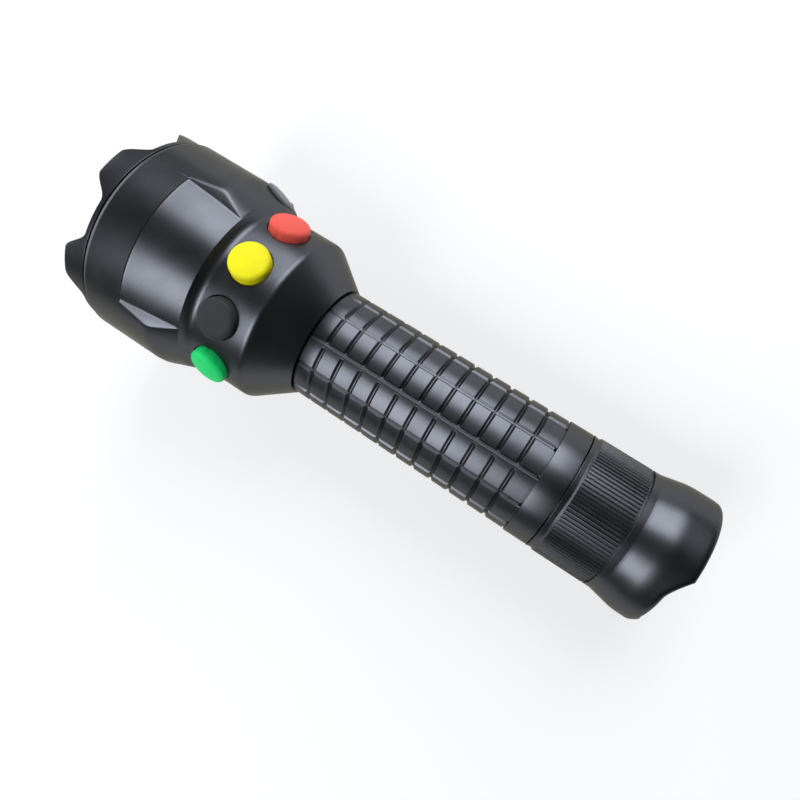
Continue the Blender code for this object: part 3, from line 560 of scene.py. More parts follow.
def combine(piece, tool, operation="DIFFERENCE"):
    """Cut a piece with a tool, or join it to one, and remove the tool."""
    modify(piece, "BOOLEAN", operation=operation, solver="EXACT", object=tool)
    bpy.data.objects.remove(tool, do_unlink=True)


def dress(piece, node, body, material):
    """Smooth a piece, give it its finish and let it stand for a node of the frame."""
    choose(piece)
    bpy.ops.object.shade_smooth_by_angle(angle=SMOOTH_ANGLE)
    piece.data.materials.clear()
    piece.data.materials.append(material)
    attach(piece, body)
    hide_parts(node)


def add_node(holder, kind, *sources, operation=None, **values):
    """Add a node to a material or world, feed its first sockets and set others by name."""
    node = holder.node_tree.nodes.new(kind)
    if operation:
        node.operation = operation
    for key, value in values.items():
        node.inputs[key.replace("_", " ")].default_value = value
    for source, target in zip(sources, node.inputs):
        holder.node_tree.links.new(source, target)
    return node


def feed(material, socket, source):
    """Let a source drive a socket of a material's shader."""
    material.node_tree.links.new(source, material.node_tree.nodes["Principled BSDF"].inputs[socket])


def new_finish(name, colour, roughness, **values):
    """Return a new Principled material."""
    material = bpy.data.materials.new(name)
    material.use_nodes = True
    values.update(Base_Color=(*colour, 1), Roughness=roughness)
    for key, value in values.items():
        material.node_tree.nodes["Principled BSDF"].inputs[key.replace("_", " ")].default_value = value
    return material


def own_place(material):
    """Return the object's own coordinates."""
    return add_node(material, "ShaderNodeTexCoord").outputs["Object"]


def speckle(material, scale, detail=2.0):
    """Return a noise on the object's own coordinates."""
    noise = add_node(material, "ShaderNodeTexNoise", own_place(material), Scale=scale, Detail=detail)
    return noise.outputs["Fac"]


def spread(material, noise, low=0, high=1):
    """Return a noise stretched to a range."""
    ramp = add_node(material, "ShaderNodeMapRange", noise,
                    From_Min=NOISE_LOW, From_Max=NOISE_HIGH, To_Min=low, To_Max=high)
    return ramp.outputs["Result"]


def shade(material, factor, dark, light):
    """Let a factor mix the colour from two."""
    mix = add_node(material, "ShaderNodeMix")
    mix.data_type = "RGBA"
    mix.inputs["A"].default_value = (*dark, 1)
    mix.inputs["B"].default_value = (*light, 1)
    material.node_tree.links.new(factor, mix.inputs["Factor"])
    feed(material, "Base Color", mix.outputs["Result"])


def dull(material, noise, low, high):
    """Let a noise vary the roughness within a range."""
    feed(material, "Roughness", spread(material, noise, low, high))


def emboss(material, height, strength, depth):
    """Let a height raise the surface a little."""
    bump = add_node(material, "ShaderNodeBump", Strength=strength, Distance=depth)
    material.node_tree.links.new(height, bump.inputs["Height"])
    feed(material, "Normal", bump.outputs["Normal"])


def scaled(colour, share):
    """Return a colour made darker or lighter."""
    return tuple(min(1.0, channel * share) for channel in colour)


def anodised():
    """Bead-blasted black anodised aluminium."""
    material = bpy.data.materials.get("black_anodised_shell")
    if material:
        return material
    colour = lamp_colours().anodised
    material = new_finish("black_anodised_shell", colour, roughness=0.34, Metallic=1.0,
                          Specular_Tint=(*lamp_colours().anodised_rim, 1))
    grain = speckle(material, scale=5200)
    shade(material, spread(material, grain), scaled(colour, 0.9), scaled(colour, 1.1))
    dull(material, speckle(material, scale=140, detail=3), low=0.31, high=0.37)
    emboss(material, grain, strength=0.35, depth=0.006 * MM)
    return material


def rubber(name, colour, roughness=0.6):
    """Moulded silicone rubber with a fine dull skin."""
    material = new_finish(name, colour, roughness, Specular_IOR_Level=0.25)
    grain = speckle(material, scale=3800)
    cloud = spread(material, speckle(material, scale=420, detail=3))
    shade(material, cloud, scaled(colour, 0.96), scaled(colour, 1.04))
    dull(material, grain, low=roughness - 0.05, high=roughness + 0.07)
    emboss(material, grain, strength=0.3, depth=0.01 * MM)
    return material


def bright_metal(name, colour, roughness, lay=(1, 1, 1), pitch=2500):
    """Bare or plated metal with the fine lines of its making."""
    material = new_finish(name, colour, roughness, Metallic=1.0)
    stretch = add_node(material, "ShaderNodeMapping", own_place(material), Scale=lay)
    noise = add_node(material, "ShaderNodeTexNoise", stretch.outputs["Vector"], Scale=pitch, Detail=3)
    lines = noise.outputs["Fac"]
    shade(material, spread(material, lines), scaled(colour, 0.9), colour)
    dull(material, lines, low=roughness * 0.8, high=roughness * 1.3)
    emboss(material, lines, strength=0.2, depth=0.005 * MM)
    return material


def circuit_board():
    """Green solder mask over copper, with glass weave under it."""
    material = new_finish("circuit_board_mask", MASK_GREEN, roughness=0.35, Coat_Weight=0.3)
    weave = add_node(material, "ShaderNodeTexChecker", own_place(material), Scale=1800)
    traces = add_node(material, "ShaderNodeTexBrick", own_place(material), Scale=320, Mortar_Size=0.04)
    shade(material, traces.outputs["Fac"], MASK_GREEN, scaled(MASK_GREEN, 1.5))
    emboss(material, weave.outputs["Fac"], strength=0.1, depth=0.01 * MM)
    return material


def moulded_plastic():
    """Dull black moulded plastic."""
    material = new_finish("moulded_black_plastic", PLASTIC_BLACK, roughness=0.5)
    grain = speckle(material, scale=2600)
    dull(material, grain, low=0.42, high=0.58)
    emboss(material, grain, strength=0.3, depth=0.01 * MM)
    return material


def cell_wrap():
    """Shrunk film round the cell, with its shiny crinkle."""
    material = new_finish("cell_film", FILM_DARK, roughness=0.3, Coat_Weight=0.5)
    crinkle = speckle(material, scale=700, detail=3)
    shade(material, spread(material, crinkle), FILM_DARK, FILM_LIGHT)
    emboss(material, crinkle, strength=0.15, depth=0.05 * MM)
    return material


def lens_glass():
    """Clear toughened glass."""
    material = new_finish("clear_lens_glass", GLASS_CLEAR, roughness=0.02, IOR=1.5, Transmission_Weight=1.0)
    dull(material, speckle(material, scale=90), low=0.01, high=0.035)
    return material


def mirror():
    """Vacuum-plated bowl with the slight ripple of its moulding."""
    material = new_finish("plated_bowl", BOWL_SILVER, roughness=0.07, Metallic=1.0)
    ripple = speckle(material, scale=900, detail=1)
    dull(material, ripple, low=0.05, high=0.1)
    emboss(material, ripple, strength=0.12, depth=0.03 * MM)
    return material


def emitter(name, colour):
    """Clear dome over a coloured phosphor."""
    material = new_finish(name, colour, roughness=0.15, Coat_Weight=0.6)
    shade(material, spread(material, speckle(material, scale=6000)), scaled(colour, 0.85), colour)
    return material


def pocket_floor(station):
    """Return the radius of a finger pocket's floor at a station."""
    slope = (POCKET_FRONT_RADIUS - SHOULDER_RADIUS) / (SHOULDER - POCKET_FRONT)
    return POCKET_FRONT_RADIUS - slope * (station - POCKET_FRONT)


def pocket_depth(station, surface):
    """Return a finger pocket's depth under the surface at a station."""
    if not POCKET_FRONT < station < SHOULDER:
        return 0.0
    depth = max(surface - pocket_floor(station), 0)
    reach = (POCKET_FRONT + POCKET_STEP - station) / POCKET_STEP
    if reach <= 0:
        return depth
    lift = (1 - cos(asin(reach * sin(WALL_SWEEP)))) / (1 - cos(WALL_SWEEP))
    return depth * (1 - lift)


def wall_points(depth, width):
    """Return (way across, height over the floor) of a pocket's wall, from its foot over its crest."""
    fine = min(CREST_ROUNDING, HOLLOW_SHARE * width)
    straight = 1 - fine / hypot(width, depth)
    points = [(width * straight * i / WALL_COLUMNS, depth * straight * i / WALL_COLUMNS)
              for i in range(WALL_COLUMNS)]
    end = (width * straight, depth * straight)
    return points + bent(end, (width, depth), (width + fine, depth), CREST_COLUMNS)


def pocket_rule(station, angle, radius):
    """Sink the two finger pockets into the barrel."""
    half = lamp_shape().pocket_half_angle
    depth = pocket_depth(station, radius)
    plain = depth < MERGE and station > POCKET_FRONT + MERGE
    if radius < MAIN_BORE + MM or plain:
        return station, angle, radius
    side = wrapped(angle, pi)
    away = abs(side)
    if away <= half + POCKET_ZONE / ZONE_COLUMNS / 2:
        return station, angle, radius - depth
    column = round((away - half) * ZONE_COLUMNS / POCKET_ZONE)
    if column >= ZONE_COLUMNS:
        return station, angle, radius
    points = wall_points(depth, max(depth / tan(lamp_shape().pocket_wall), POCKET_WALL_LEAST))
    if column < len(points):
        across, height = points[column]
        level = radius - depth + height
    else:
        share = (column - len(points) + 1) / (ZONE_COLUMNS - len(points) + 1)
        end = POCKET_ZONE * radius
        across = points[-1][0] + (end - points[-1][0]) * share
        level = radius
    moved = half + across / radius
    return station, angle + (moved - away) * (1 if side > 0 else -1), level


def head_outline():
    """Outside of the head from its neck forwards, then its bores from the front backwards."""
    shape = lamp_shape()
    edge = shape.edge_rounding
    lip = bent((LIP_END, RING_RADIUS), (LIP_CORNER, RING_RADIUS), (SHOULDER, SHOULDER_RADIUS),
               LIP_STEPS)[:-1]
    rear = rounded([(HEAD_REAR, NECK_RADIUS, 0), (RING_REAR, RING_RADIUS, RING_REAR_ROUNDING),
                    (RING_FRONT, RING_RADIUS, 0)], RING_STEPS)[:-1]
    shoulder = rounded([(*lip[-1], 0), (SHOULDER, SHOULDER_RADIUS, edge),
                        (BARREL_END, HEAD_RADIUS, 0)])[1:-1]
    barrel = rounded([(SHOULDER, SHOULDER_RADIUS, 0), (BARREL_END, HEAD_RADIUS, BARREL_ROUNDING),
                      (POCKET_FRONT + POCKET_STEP, HEAD_RADIUS, 0)], BARREL_STEPS)[1:]
    sweeps = [WALL_SWEEP * i / SWEEP_STEPS for i in range(1, SWEEP_STEPS + 1)]
    step = [(POCKET_FRONT + POCKET_STEP * (1 - sin(sweep) / sin(WALL_SWEEP)), HEAD_RADIUS)
            for sweep in sweeps]
    ramp_top = RIM_EDGE + RIM_RAMP
    ramp_foot = HEAD_RADIUS - RIM_RAMP * tan(RIM_SLOPE)
    front = [(ramp_top + 1.5 * SUPPORT, HEAD_RADIUS), (ramp_top, HEAD_RADIUS),
             (ramp_top - SUPPORT, HEAD_RADIUS - SUPPORT * tan(RIM_SLOPE))]
    front += bent((RIM_EDGE, ramp_foot), (0, ramp_foot), (0, ramp_foot - RIM_EDGE), EDGE_STEPS)
    front += [(0, LENS_BORE)]
    outside = [*divided(rear, CONE_ROWS), *lip, *shoulder]
    sloped = divided([outside[-1], *barrel, *step], POCKET_ROWS)[1:]
    outside += [*sloped, *divided([step[-1], *front], FRONT_ROWS)[1:]]
    inside = stepped(LENS_BORE, (LENS_SEAT, MAIN_BORE), (SHELF, RING_BORE), (RING_REAR, NECK_BORE))
    return closed([*outside, *inside, (HEAD_REAR, NECK_BORE)])


def pocket_sections():
    """Columns of the head, close together at the walls of the finger pockets."""
    half = lamp_shape().pocket_half_angle
    floor = (half, FLOOR_COLUMNS)
    zone = (POCKET_ZONE, ZONE_COLUMNS)
    side = (2 * (pi / 2 - half - POCKET_ZONE), SIDE_COLUMNS)
    return [floor, zone, side, zone, (2 * half, 2 * FLOOR_COLUMNS), zone, side, zone, floor]


def hole_cutter(angle):
    """Tool for one button's hole, with a chamfer that follows the ring's round."""
    top = RING_RADIUS + CUTTER_REACH
    wide = BUTTON_HOLE + 2 * HOLE_CHAMFER
    outline = [(FLANGE_BOTTOM, 0), (FLANGE_BOTTOM, BUTTON_HOLE), (RING_RADIUS - HOLE_CHAMFER, BUTTON_HOLE),
               (RING_RADIUS + HOLE_CHAMFER, wide), (top, wide), (top, 0)]
    cutter = turned("hole_cutter", outline, [(2 * pi, SMALL_COLUMNS)], 0)
    for vertex in cutter.data.vertices:
        if RING_RADIUS - 2 * HOLE_CHAMFER < vertex.co.x < RING_RADIUS + 2 * HOLE_CHAMFER:
            vertex.co.x -= RING_RADIUS - sqrt(RING_RADIUS ** 2 - vertex.co.z ** 2)
    settle(cutter, outward(angle, BUTTON_STATION - BUTTON_FORWARD))
    return cutter


class SIGNAL_LAMP_OT_head(bpy.types.Operator):
    """Make the head: barrel, finger pockets, concave lip, button ring and rear cone"""
    bl_idname = "signal_lamp.head"
    bl_label = "Head"

    def execute(self, context):
        head = turned("head_shell", head_outline(), pocket_sections())
        reshape(head, pocket_rule)
        cutters = [hole_cutter(angle) for angle in BUTTON_ANGLES.values()]
        slot = block("slot_cutter", (SLOT_REACH + HEAD_RADIUS - MAIN_BORE, SLOT_LENGTH, SLOT_WIDTH),
                     (HEAD_RADIUS + MAIN_BORE) / 2)
        settle(slot, outward(PLUG_ANGLE, PLUG_STATION))
        combine(head, merged([*cutters, slot]))
        dress(head, "head_housing", "torch", anodised())
        return {"FINISHED"}


def tooth_rule(station, angle, radius):
    """Draw the bezel's front edge back between its teeth."""
    shape = lamp_shape()
    away = abs(wrapped(angle - shape.first_tooth, 2 * pi / shape.teeth))
    fall = eased((away - shape.tooth_plateau) / shape.tooth_slope) * shape.tooth_height
    reach = (-TOOTH_ROOT - station) / (-TOOTH_ROOT - TOOTH_TIP - TOOTH_EDGE)
    return station + fall * clamped(reach), angle, radius


class SIGNAL_LAMP_OT_bezel(bpy.types.Operator):
    """Make the bezel ring with its rounded teeth"""
    bl_idname = "signal_lamp.bezel"
    bl_label = "Bezel"

    def execute(self, context):
        edge = lamp_shape().edge_rounding
        outline = rounded([
            (-BEZEL_SEAM, BEZEL_RADIUS, SEAM_EDGE), (-TOOTH_ROOT - edge, BEZEL_RADIUS, 0),
            (TOOTH_TIP, BEZEL_RADIUS, 2 * SEAM_EDGE), (TOOTH_TIP, BEZEL_BORE, edge),
            (-TOOTH_ROOT - edge, BEZEL_BORE, 0), (BEZEL_REAR, BEZEL_BORE, edge),
            (BEZEL_REAR, BEZEL_SPIGOT, edge), (-BEZEL_SEAM, BEZEL_SPIGOT, 0)])
        ring = turned("bezel_shell", divided(closed(outline), BEZEL_ROWS), [(2 * pi, BEZEL_COLUMNS)])
        reshape(ring, tooth_rule)
        dress(ring, "bezel_ring", "torch", anodised())
        return {"FINISHED"}


class SIGNAL_LAMP_OT_buttons(bpy.types.Operator):
    """Make the four domed rubber buttons"""
    bl_idname = "signal_lamp.buttons"
    bl_label = "Buttons"

    def execute(self, context):
        shape, colours = lamp_shape(), lamp_colours()
        edge = shape.button_edge
        top = RING_RADIUS + shape.button_rise
        flat = shape.button_radius - edge
        shares = [i / BUTTON_STEPS for i in range(BUTTON_STEPS + 1)]
        crown = [(top - shape.button_crown * share ** 2, flat * share) for share in shares]
        lean = atan(2 * shape.button_crown / flat)
        centre = (crown[-1][0] - edge * cos(lean), crown[-1][1] - edge * sin(lean))
        shoulder = arc(centre, edge, pi / 2 - lean, 0, BUTTON_STEPS)[1:]
        side = shoulder[-1][1]
        outline = [*crown, *shoulder, (RING_BORE + HOLE_CHAMFER, side), (RING_BORE - HOLE_CHAMFER, side)]
        outline += stepped(side, (FLANGE_TOP, FLANGE_RADIUS), (FLANGE_BOTTOM, STEM_RADIUS), (STEM_END, 0))
        finishes = {"red": ("red_rubber", colours.red), "yellow": ("yellow_rubber", colours.yellow),
                    "white": ("black_rubber", colours.black), "green": ("green_rubber", colours.green)}
        for name, angle in BUTTON_ANGLES.items():
            pad = turned(f"{name}_pad_top", outline, [(2 * pi, SMALL_COLUMNS)], 0)
            for vertex in pad.data.vertices:
                if vertex.co.x > RING_BORE:
                    vertex.co.y -= BUTTON_FORWARD
            settle(pad, outward(angle, BUTTON_STATION))
            slot, colour = finishes[name]
            dress(pad, f"{name}_button", f"{name}_pad", rubber(f"{name}_button_rubber", colour))
        return {"FINISHED"}


def chamfer_radius(station):
    """Return the radius of the head's rear chamfer at a station."""
    slope = (HEAD_RADIUS - SHOULDER_RADIUS) / (SHOULDER - BARREL_END)
    return HEAD_RADIUS - slope * (station - BARREL_END)


class SIGNAL_LAMP_OT_plug(bpy.types.Operator):
    """Make the charging socket's rubber plug, bent onto the head's chamfer"""
    bl_idname = "signal_lamp.plug"
    bl_label = "Charging Plug"

    def execute(self, context):
        width = (PLUG_FAR_ANGLE - PLUG_NEAR_ANGLE) * HEAD_RADIUS
        plug = block("charge_plug_skin", (PLUG_THICKNESS, PLUG_LENGTH, width), 0)
        self.bevel_edges(plug, lambda a, b: abs(a.x - b.x) > MERGE, PLUG_CORNER, segments=6)
        self.bevel_edges(plug, lambda a, b: min(a.x, b.x) > 0, PLUG_EDGE, segments=3)
        cuts = [((0, 0, (i / PLUG_SLICES - 0.5) * width), (0, 0, 1)) for i in range(1, PLUG_SLICES)]
        cuts += [((0, (i / PLUG_ROWS - 0.5) * PLUG_LENGTH, 0), (0, 1, 0)) for i in range(1, PLUG_ROWS)]
        bpy.ops.object.mode_set(mode="EDIT")
        for place, direction in cuts:
            bpy.ops.mesh.select_all(action="SELECT")
            bpy.ops.mesh.bisect(plane_co=place, plane_no=direction)
        bpy.ops.object.mode_set(mode="OBJECT")
        skin = PLUG_LIFT + PLUG_THICKNESS / 2
        for vertex in plug.data.vertices:
            lift, along, across = vertex.co
            pillow = PLUG_PILLOW * (2 * along / PLUG_LENGTH) ** 2 if lift > 0 else 0
            angle = (PLUG_NEAR_ANGLE + PLUG_FAR_ANGLE) / 2 + across / HEAD_RADIUS
            station = PLUG_STATION + along
            vertex.co = spot(station, angle, chamfer_radius(station) + skin + lift - pillow)
        top = chamfer_radius(PLUG_STATION) + skin
        stem = block("plug_stem", (top - PLUG_STEM_FOOT, SLOT_LENGTH - 2 * SLOT_GAP,
                                   SLOT_WIDTH - 2 * SLOT_GAP), (top + PLUG_STEM_FOOT) / 2)
        settle(stem, outward(PLUG_ANGLE, PLUG_STATION))
        combine(plug, stem, "UNION")
        dress(plug, "charge_plug", "socket_plug",
              rubber("grey_plug_rubber", lamp_colours().grey, roughness=0.42))
        return {"FINISHED"}

    def bevel_edges(self, piece, wanted, width, segments):
        """Round the edges whose ends a rule accepts."""
        bpy.ops.object.mode_set(mode="EDIT")
        bpy.ops.mesh.select_mode(type="EDGE")
        bpy.ops.mesh.select_all(action="DESELECT")
        bpy.ops.object.mode_set(mode="OBJECT")
        corners = piece.data.vertices
        for edge in piece.data.edges:
            edge.select = wanted(corners[edge.vertices[0]].co, corners[edge.vertices[1]].co)
        bpy.ops.object.mode_set(mode="EDIT")
        bpy.ops.mesh.bevel(offset=width, segments=segments, affect="EDGES")
        bpy.ops.object.mode_set(mode="OBJECT")


def tube_radius(station):
    """Return the grip's radius, which swells slightly towards the tail."""
    share = (station - TUBE_FRONT) / (TUBE_REAR - TUBE_FRONT)
    return TUBE_FRONT_RADIUS + (TUBE_REAR_RADIUS - TUBE_FRONT_RADIUS) * share


def groove_depth(distance, width, depth, floor_share):
    """Return the depth of a groove with a flat floor and leaning walls at a distance from its middle."""
    bottom = width / 2 * floor_share
    return depth * (1 - clamped((distance - bottom) / (width / 2 - bottom)))


def near_ridge(angle):
    """Say whether the lengthwise groove nearest to an angle is the one on a ridge."""
    return abs(wrapped(angle - RIDGE_ANGLE, 2 * pi / RIDGES)) < pi / LONG_GROOVES


def grip_rule(station, angle, radius):
    """Sink the ring grooves and the lengthwise grooves, and cut the thread behind them."""
    shape = lamp_shape()
    if THREAD_START < station < TUBE_TIP - MERGE and radius > TUBE_BORE + MM:
        phase = (station / THREAD_PITCH - angle / (2 * pi)) % 1
        return station, angle, radius - THREAD_DEPTH * abs(2 * phase - 1)
    if not TUBE_FRONT + MERGE < station < BLOCKS_END - MERGE or radius < TUBE_BORE + MM:
        return station, angle, radius
    number = round((station - FIRST_GROOVE) / GROOVE_PITCH)
    number = min(max(number, 0), RING_GROOVES - 1)
    along = abs(station - FIRST_GROOVE - number * GROOVE_PITCH)
    beyond = RIDGE_HALF_WIDTH + shape.ring_groove_width / 2 - abs(
        wrapped(angle - RIDGE_ANGLE, 2 * pi / RIDGES)) * radius
    ring = groove_depth(hypot(along, max(beyond, 0)), shape.ring_groove_width, shape.ring_groove_depth,
                        RING_FLOOR_SHARE)
    side = abs(wrapped(angle - FIRST_LONG_GROOVE, 2 * pi / LONG_GROOVES)) * TUBE_FRONT_RADIUS
    if near_ridge(angle):
        share = eased(groove_depth(side, RIDGE_GROOVE_WIDTH, 1, RIDGE_FLOOR_SHARE))
    else:
        share = groove_depth(side, shape.long_groove_width, 1, LONG_FLOOR_SHARE)
    return station, angle, radius - max(ring, share * shape.long_groove_depth)


def grip_outline():
    """Outside of the tube from its tail forwards, then its bore."""
    shape = lamp_shape()
    edge = shape.edge_rounding
    half = shape.ring_groove_width / 2
    seal = SEAL_WIRE + SEAL_PLAY
    bed = SPIGOT_RADIUS - 2 * SEAL_WIRE
    collar_floor = COLLAR_RADIUS - shape.ring_groove_depth
    front_radius = tube_radius(TUBE_FRONT)
    thread = divided([(TUBE_TIP, SPIGOT_RADIUS - edge), (TUBE_TIP - edge, SPIGOT_RADIUS),
                      (THREAD_START, SPIGOT_RADIUS)], THREAD_ROWS)
    rear = rounded([(REAR_SEAL + seal, SPIGOT_RADIUS, 0), (REAR_SEAL + seal, bed, 0),
                    (REAR_SEAL - seal, bed, 0), (REAR_SEAL - seal, SPIGOT_RADIUS, 0),
                    (TUBE_REAR, SPIGOT_RADIUS, 0), (TUBE_REAR, COLLAR_RADIUS, SEAM_EDGE),
                    (BLOCKS_END + COLLAR_EDGE, COLLAR_RADIUS, 0.5 * edge),
                    (BLOCKS_END + COLLAR_FLOOR, collar_floor, 0),
                    (BLOCKS_END - COLLAR_FLOOR, collar_floor, 0)])
    blocks = []
    for i in reversed(range(RING_GROOVES)):
        groove = FIRST_GROOVE + i * GROOVE_PITCH
        blocks += [groove + GROOVE_PITCH / 2] if i < RING_GROOVES - 1 else [BLOCKS_END - COLLAR_EDGE]
        blocks += [groove + row * half for row in GROOVE_ROWS]
        blocks += [groove - row * half for row in reversed(GROOVE_ROWS)]
    blocks += [TUBE_FRONT + edge]
    face = [(station, tube_radius(station)) for station in blocks]
    face += [(TUBE_FRONT + FACE_SHARE * edge, front_radius - FACE_SHARE * edge)]
    front = stepped(front_radius - edge, (TUBE_FRONT, SPIGOT_RADIUS), (FRONT_SEAL + seal, bed),
                    (FRONT_SEAL - seal, SPIGOT_RADIUS), (TUBE_START, TUBE_BORE))
    return closed([*thread, *rear, *face, *front, (TUBE_TIP, TUBE_BORE)])


def grip_sections():
    """Columns of the grip, close together at the lengthwise grooves and the ridges."""
    shape = lamp_shape()
    half = shape.long_groove_width / 2 / TUBE_FRONT_RADIUS
    margin = GROOVE_MARGIN * half
    wall_step = (1 - LONG_FLOOR_SHARE) / LONG_WALL_COLUMNS
    marks = set()
    for i in range(LONG_GROOVES):
        middle = FIRST_LONG_GROOVE + 2 * pi * i / LONG_GROOVES
        shares = [0, GROOVE_MARGIN]
        if not near_ridge(middle):
            shares += [1 - wall_step * j for j in range(LONG_WALL_COLUMNS + 1)]
        marks.update(middle + half * share * side for share in shares for side in (1, -1))
        marks.update(middle + margin + (2 * pi / LONG_GROOVES - 2 * margin) * j / BLOCK_COLUMNS
                     for j in range(1, BLOCK_COLUMNS))
    reach = (RIDGE_HALF_WIDTH + shape.ring_groove_width) / TUBE_FRONT_RADIUS
    for i in range(RIDGES):
        for step in range(-RIDGE_COLUMNS, RIDGE_COLUMNS + 1):
            marks.add(RIDGE_ANGLE + 2 * pi * i / RIDGES + reach * step / RIDGE_COLUMNS)
    spaced = [0.0]
    for mark in [*sorted(mark % (2 * pi) for mark in marks), 2 * pi]:
        if mark - spaced[-1] > LEAST_COLUMN:
            spaced.append(mark)
    spaced[-1] = 2 * pi
    return [(b - a, 1) for a, b in zip(spaced, spaced[1:])]


class SIGNAL_LAMP_OT_grip(bpy.types.Operator):
    """Make the grip tube with its blocks, collar and thread"""
    bl_idname = "signal_lamp.grip"
    bl_label = "Grip"

    def execute(self, context):
        tube = turned("grip_shell", grip_outline(), grip_sections())
        reshape(tube, grip_rule)
        dress(tube, "grip_tube", "torch", anodised())
        return {"FINISHED"}


def cap_rule(station, angle, radius):
    """Cut the knurl's ribs and draw the rim forwards at its notches."""
    shape = lamp_shape()
    if KNURL_FRONT + MERGE < station < KNURL_REAR - MERGE and radius > CAP_BORE + MM:
        phase = (angle * shape.knurl_ribs / (2 * pi)) % 1
        radius -= shape.knurl_depth * clamped(1 - RIB_COLUMNS * min(phase, 1 - phase))
    away = abs(wrapped(angle - shape.notch_angle, pi))
    rise = clamped((away - shape.notch_floor) / shape.notch_slope)
    cut = (1 - rise ** NOTCH_CURVE) * shape.notch_depth
    start = RECESS_FLOOR + NOTCH_FOOT
    reach = (station - start) / (TAIL_END - RIM_ROUNDING - start)
    return station - cut * clamped(reach), angle, radius


def cap_outline():
    """Outside of the tail cap from its rim forwards, then everything hollow in it."""
    shape = lamp_shape()
    edge = shape.edge_rounding
    rib_end = RIB_END_SHARE * edge
    relief_edge = RELIEF_EDGE_SHARE * edge
    relief = CAP_RADIUS - RELIEF_DEPTH
    rim = rounded([(RECESS_FLOOR, RECESS_RADIUS, 0), (TAIL_END, RECESS_RADIUS, RIM_INNER_ROUNDING),
                   (TAIL_END, TAIL_RADIUS, RIM_ROUNDING), (FLARE_REAR, TAIL_RADIUS, FLARE_ROUNDING),
                   (FLARE_FRONT, CAP_RADIUS, 0)], RIM_STEPS)
    outside = [*rim, (FLARE_FRONT - SUPPORT, CAP_RADIUS), (RELIEF_REAR + relief_edge, CAP_RADIUS)]
    knurl = [(RELIEF_REAR, CAP_RADIUS - relief_edge), (RELIEF_REAR, relief), (KNURL_REAR, relief),
             (KNURL_REAR, CAP_RADIUS - shape.knurl_depth)]
    ribs = (KNURL_REAR - rib_end, KNURL_REAR - edge, KNURL_FRONT + edge, KNURL_FRONT + rib_end, KNURL_FRONT)
    knurl += [(station, CAP_RADIUS) for station in ribs]
    foot = KNURL_FRONT - LAND_RAMP
    rise = (CAP_RADIUS - LAND_REAR_RADIUS) / LAND_RAMP
    lead = [(KNURL_FRONT - LAND_SUPPORT, CAP_RADIUS - LAND_SUPPORT * rise),
            (foot + LAND_SUPPORT, LAND_REAR_RADIUS + LAND_SUPPORT * rise), (foot, LAND_REAR_RADIUS)]
    lead += rounded([(foot - SUPPORT, LAND_REAR_RADIUS, 0), (CAP_FRONT, LAND_FRONT_RADIUS, SEAM_EDGE),
                     (CAP_FRONT, CAP_BORE, 0)], LAND_STEPS)
    hollow = stepped(CAP_BORE, (CHAMBER_START, CHAMBER_RADIUS), (CHAMBER_END, BOOT_HOLE))
    return closed([*divided(outside, CAP_ROWS), *knurl, *lead, *hollow, (RECESS_FLOOR, BOOT_HOLE)])


class SIGNAL_LAMP_OT_cap(bpy.types.Operator):
    """Make the tail cap with its knurl, flare and notched rim"""
    bl_idname = "signal_lamp.cap"
    bl_label = "Tail Cap"

    def execute(self, context):
        columns = RIB_COLUMNS * lamp_shape().knurl_ribs
        cap = turned("tail_cap_shell", cap_outline(), [(2 * pi, columns)])
        reshape(cap, cap_rule)
        dress(cap, "tail_cap", "cap", anodised())
        return {"FINISHED"}


class SIGNAL_LAMP_OT_boot(bpy.types.Operator):
    """Make the domed rubber tail button"""
    bl_idname = "signal_lamp.boot"
    bl_label = "Tail Button"

    def execute(self, context):
        turns = [pi / 2 * i / BOOT_STEPS for i in range(BOOT_STEPS)]
        dome = [(RECESS_FLOOR + (BOOT_TOP - RECESS_FLOOR) * cos(turn) ** BOOT_CURVE, BOOT_RADIUS * sin(turn))
                for turn in turns]
        skirt = stepped(BOOT_RADIUS, (BOOT_FLANGE_REAR, BOOT_FLANGE_RADIUS),
                        (BOOT_FLANGE_FRONT, BOOT_STEM_RADIUS), (BOOT_STEM_END, 0))
        outline = [*dome, (RECESS_FLOOR, BOOT_RADIUS), *skirt]
        boot = turned("tail_boot_skin", outline, [(2 * pi, SMALL_COLUMNS)])
        dress(boot, "tail_boot", "tail_pad",
              rubber("tail_boot_rubber", lamp_colours().black))
        return {"FINISHED"}


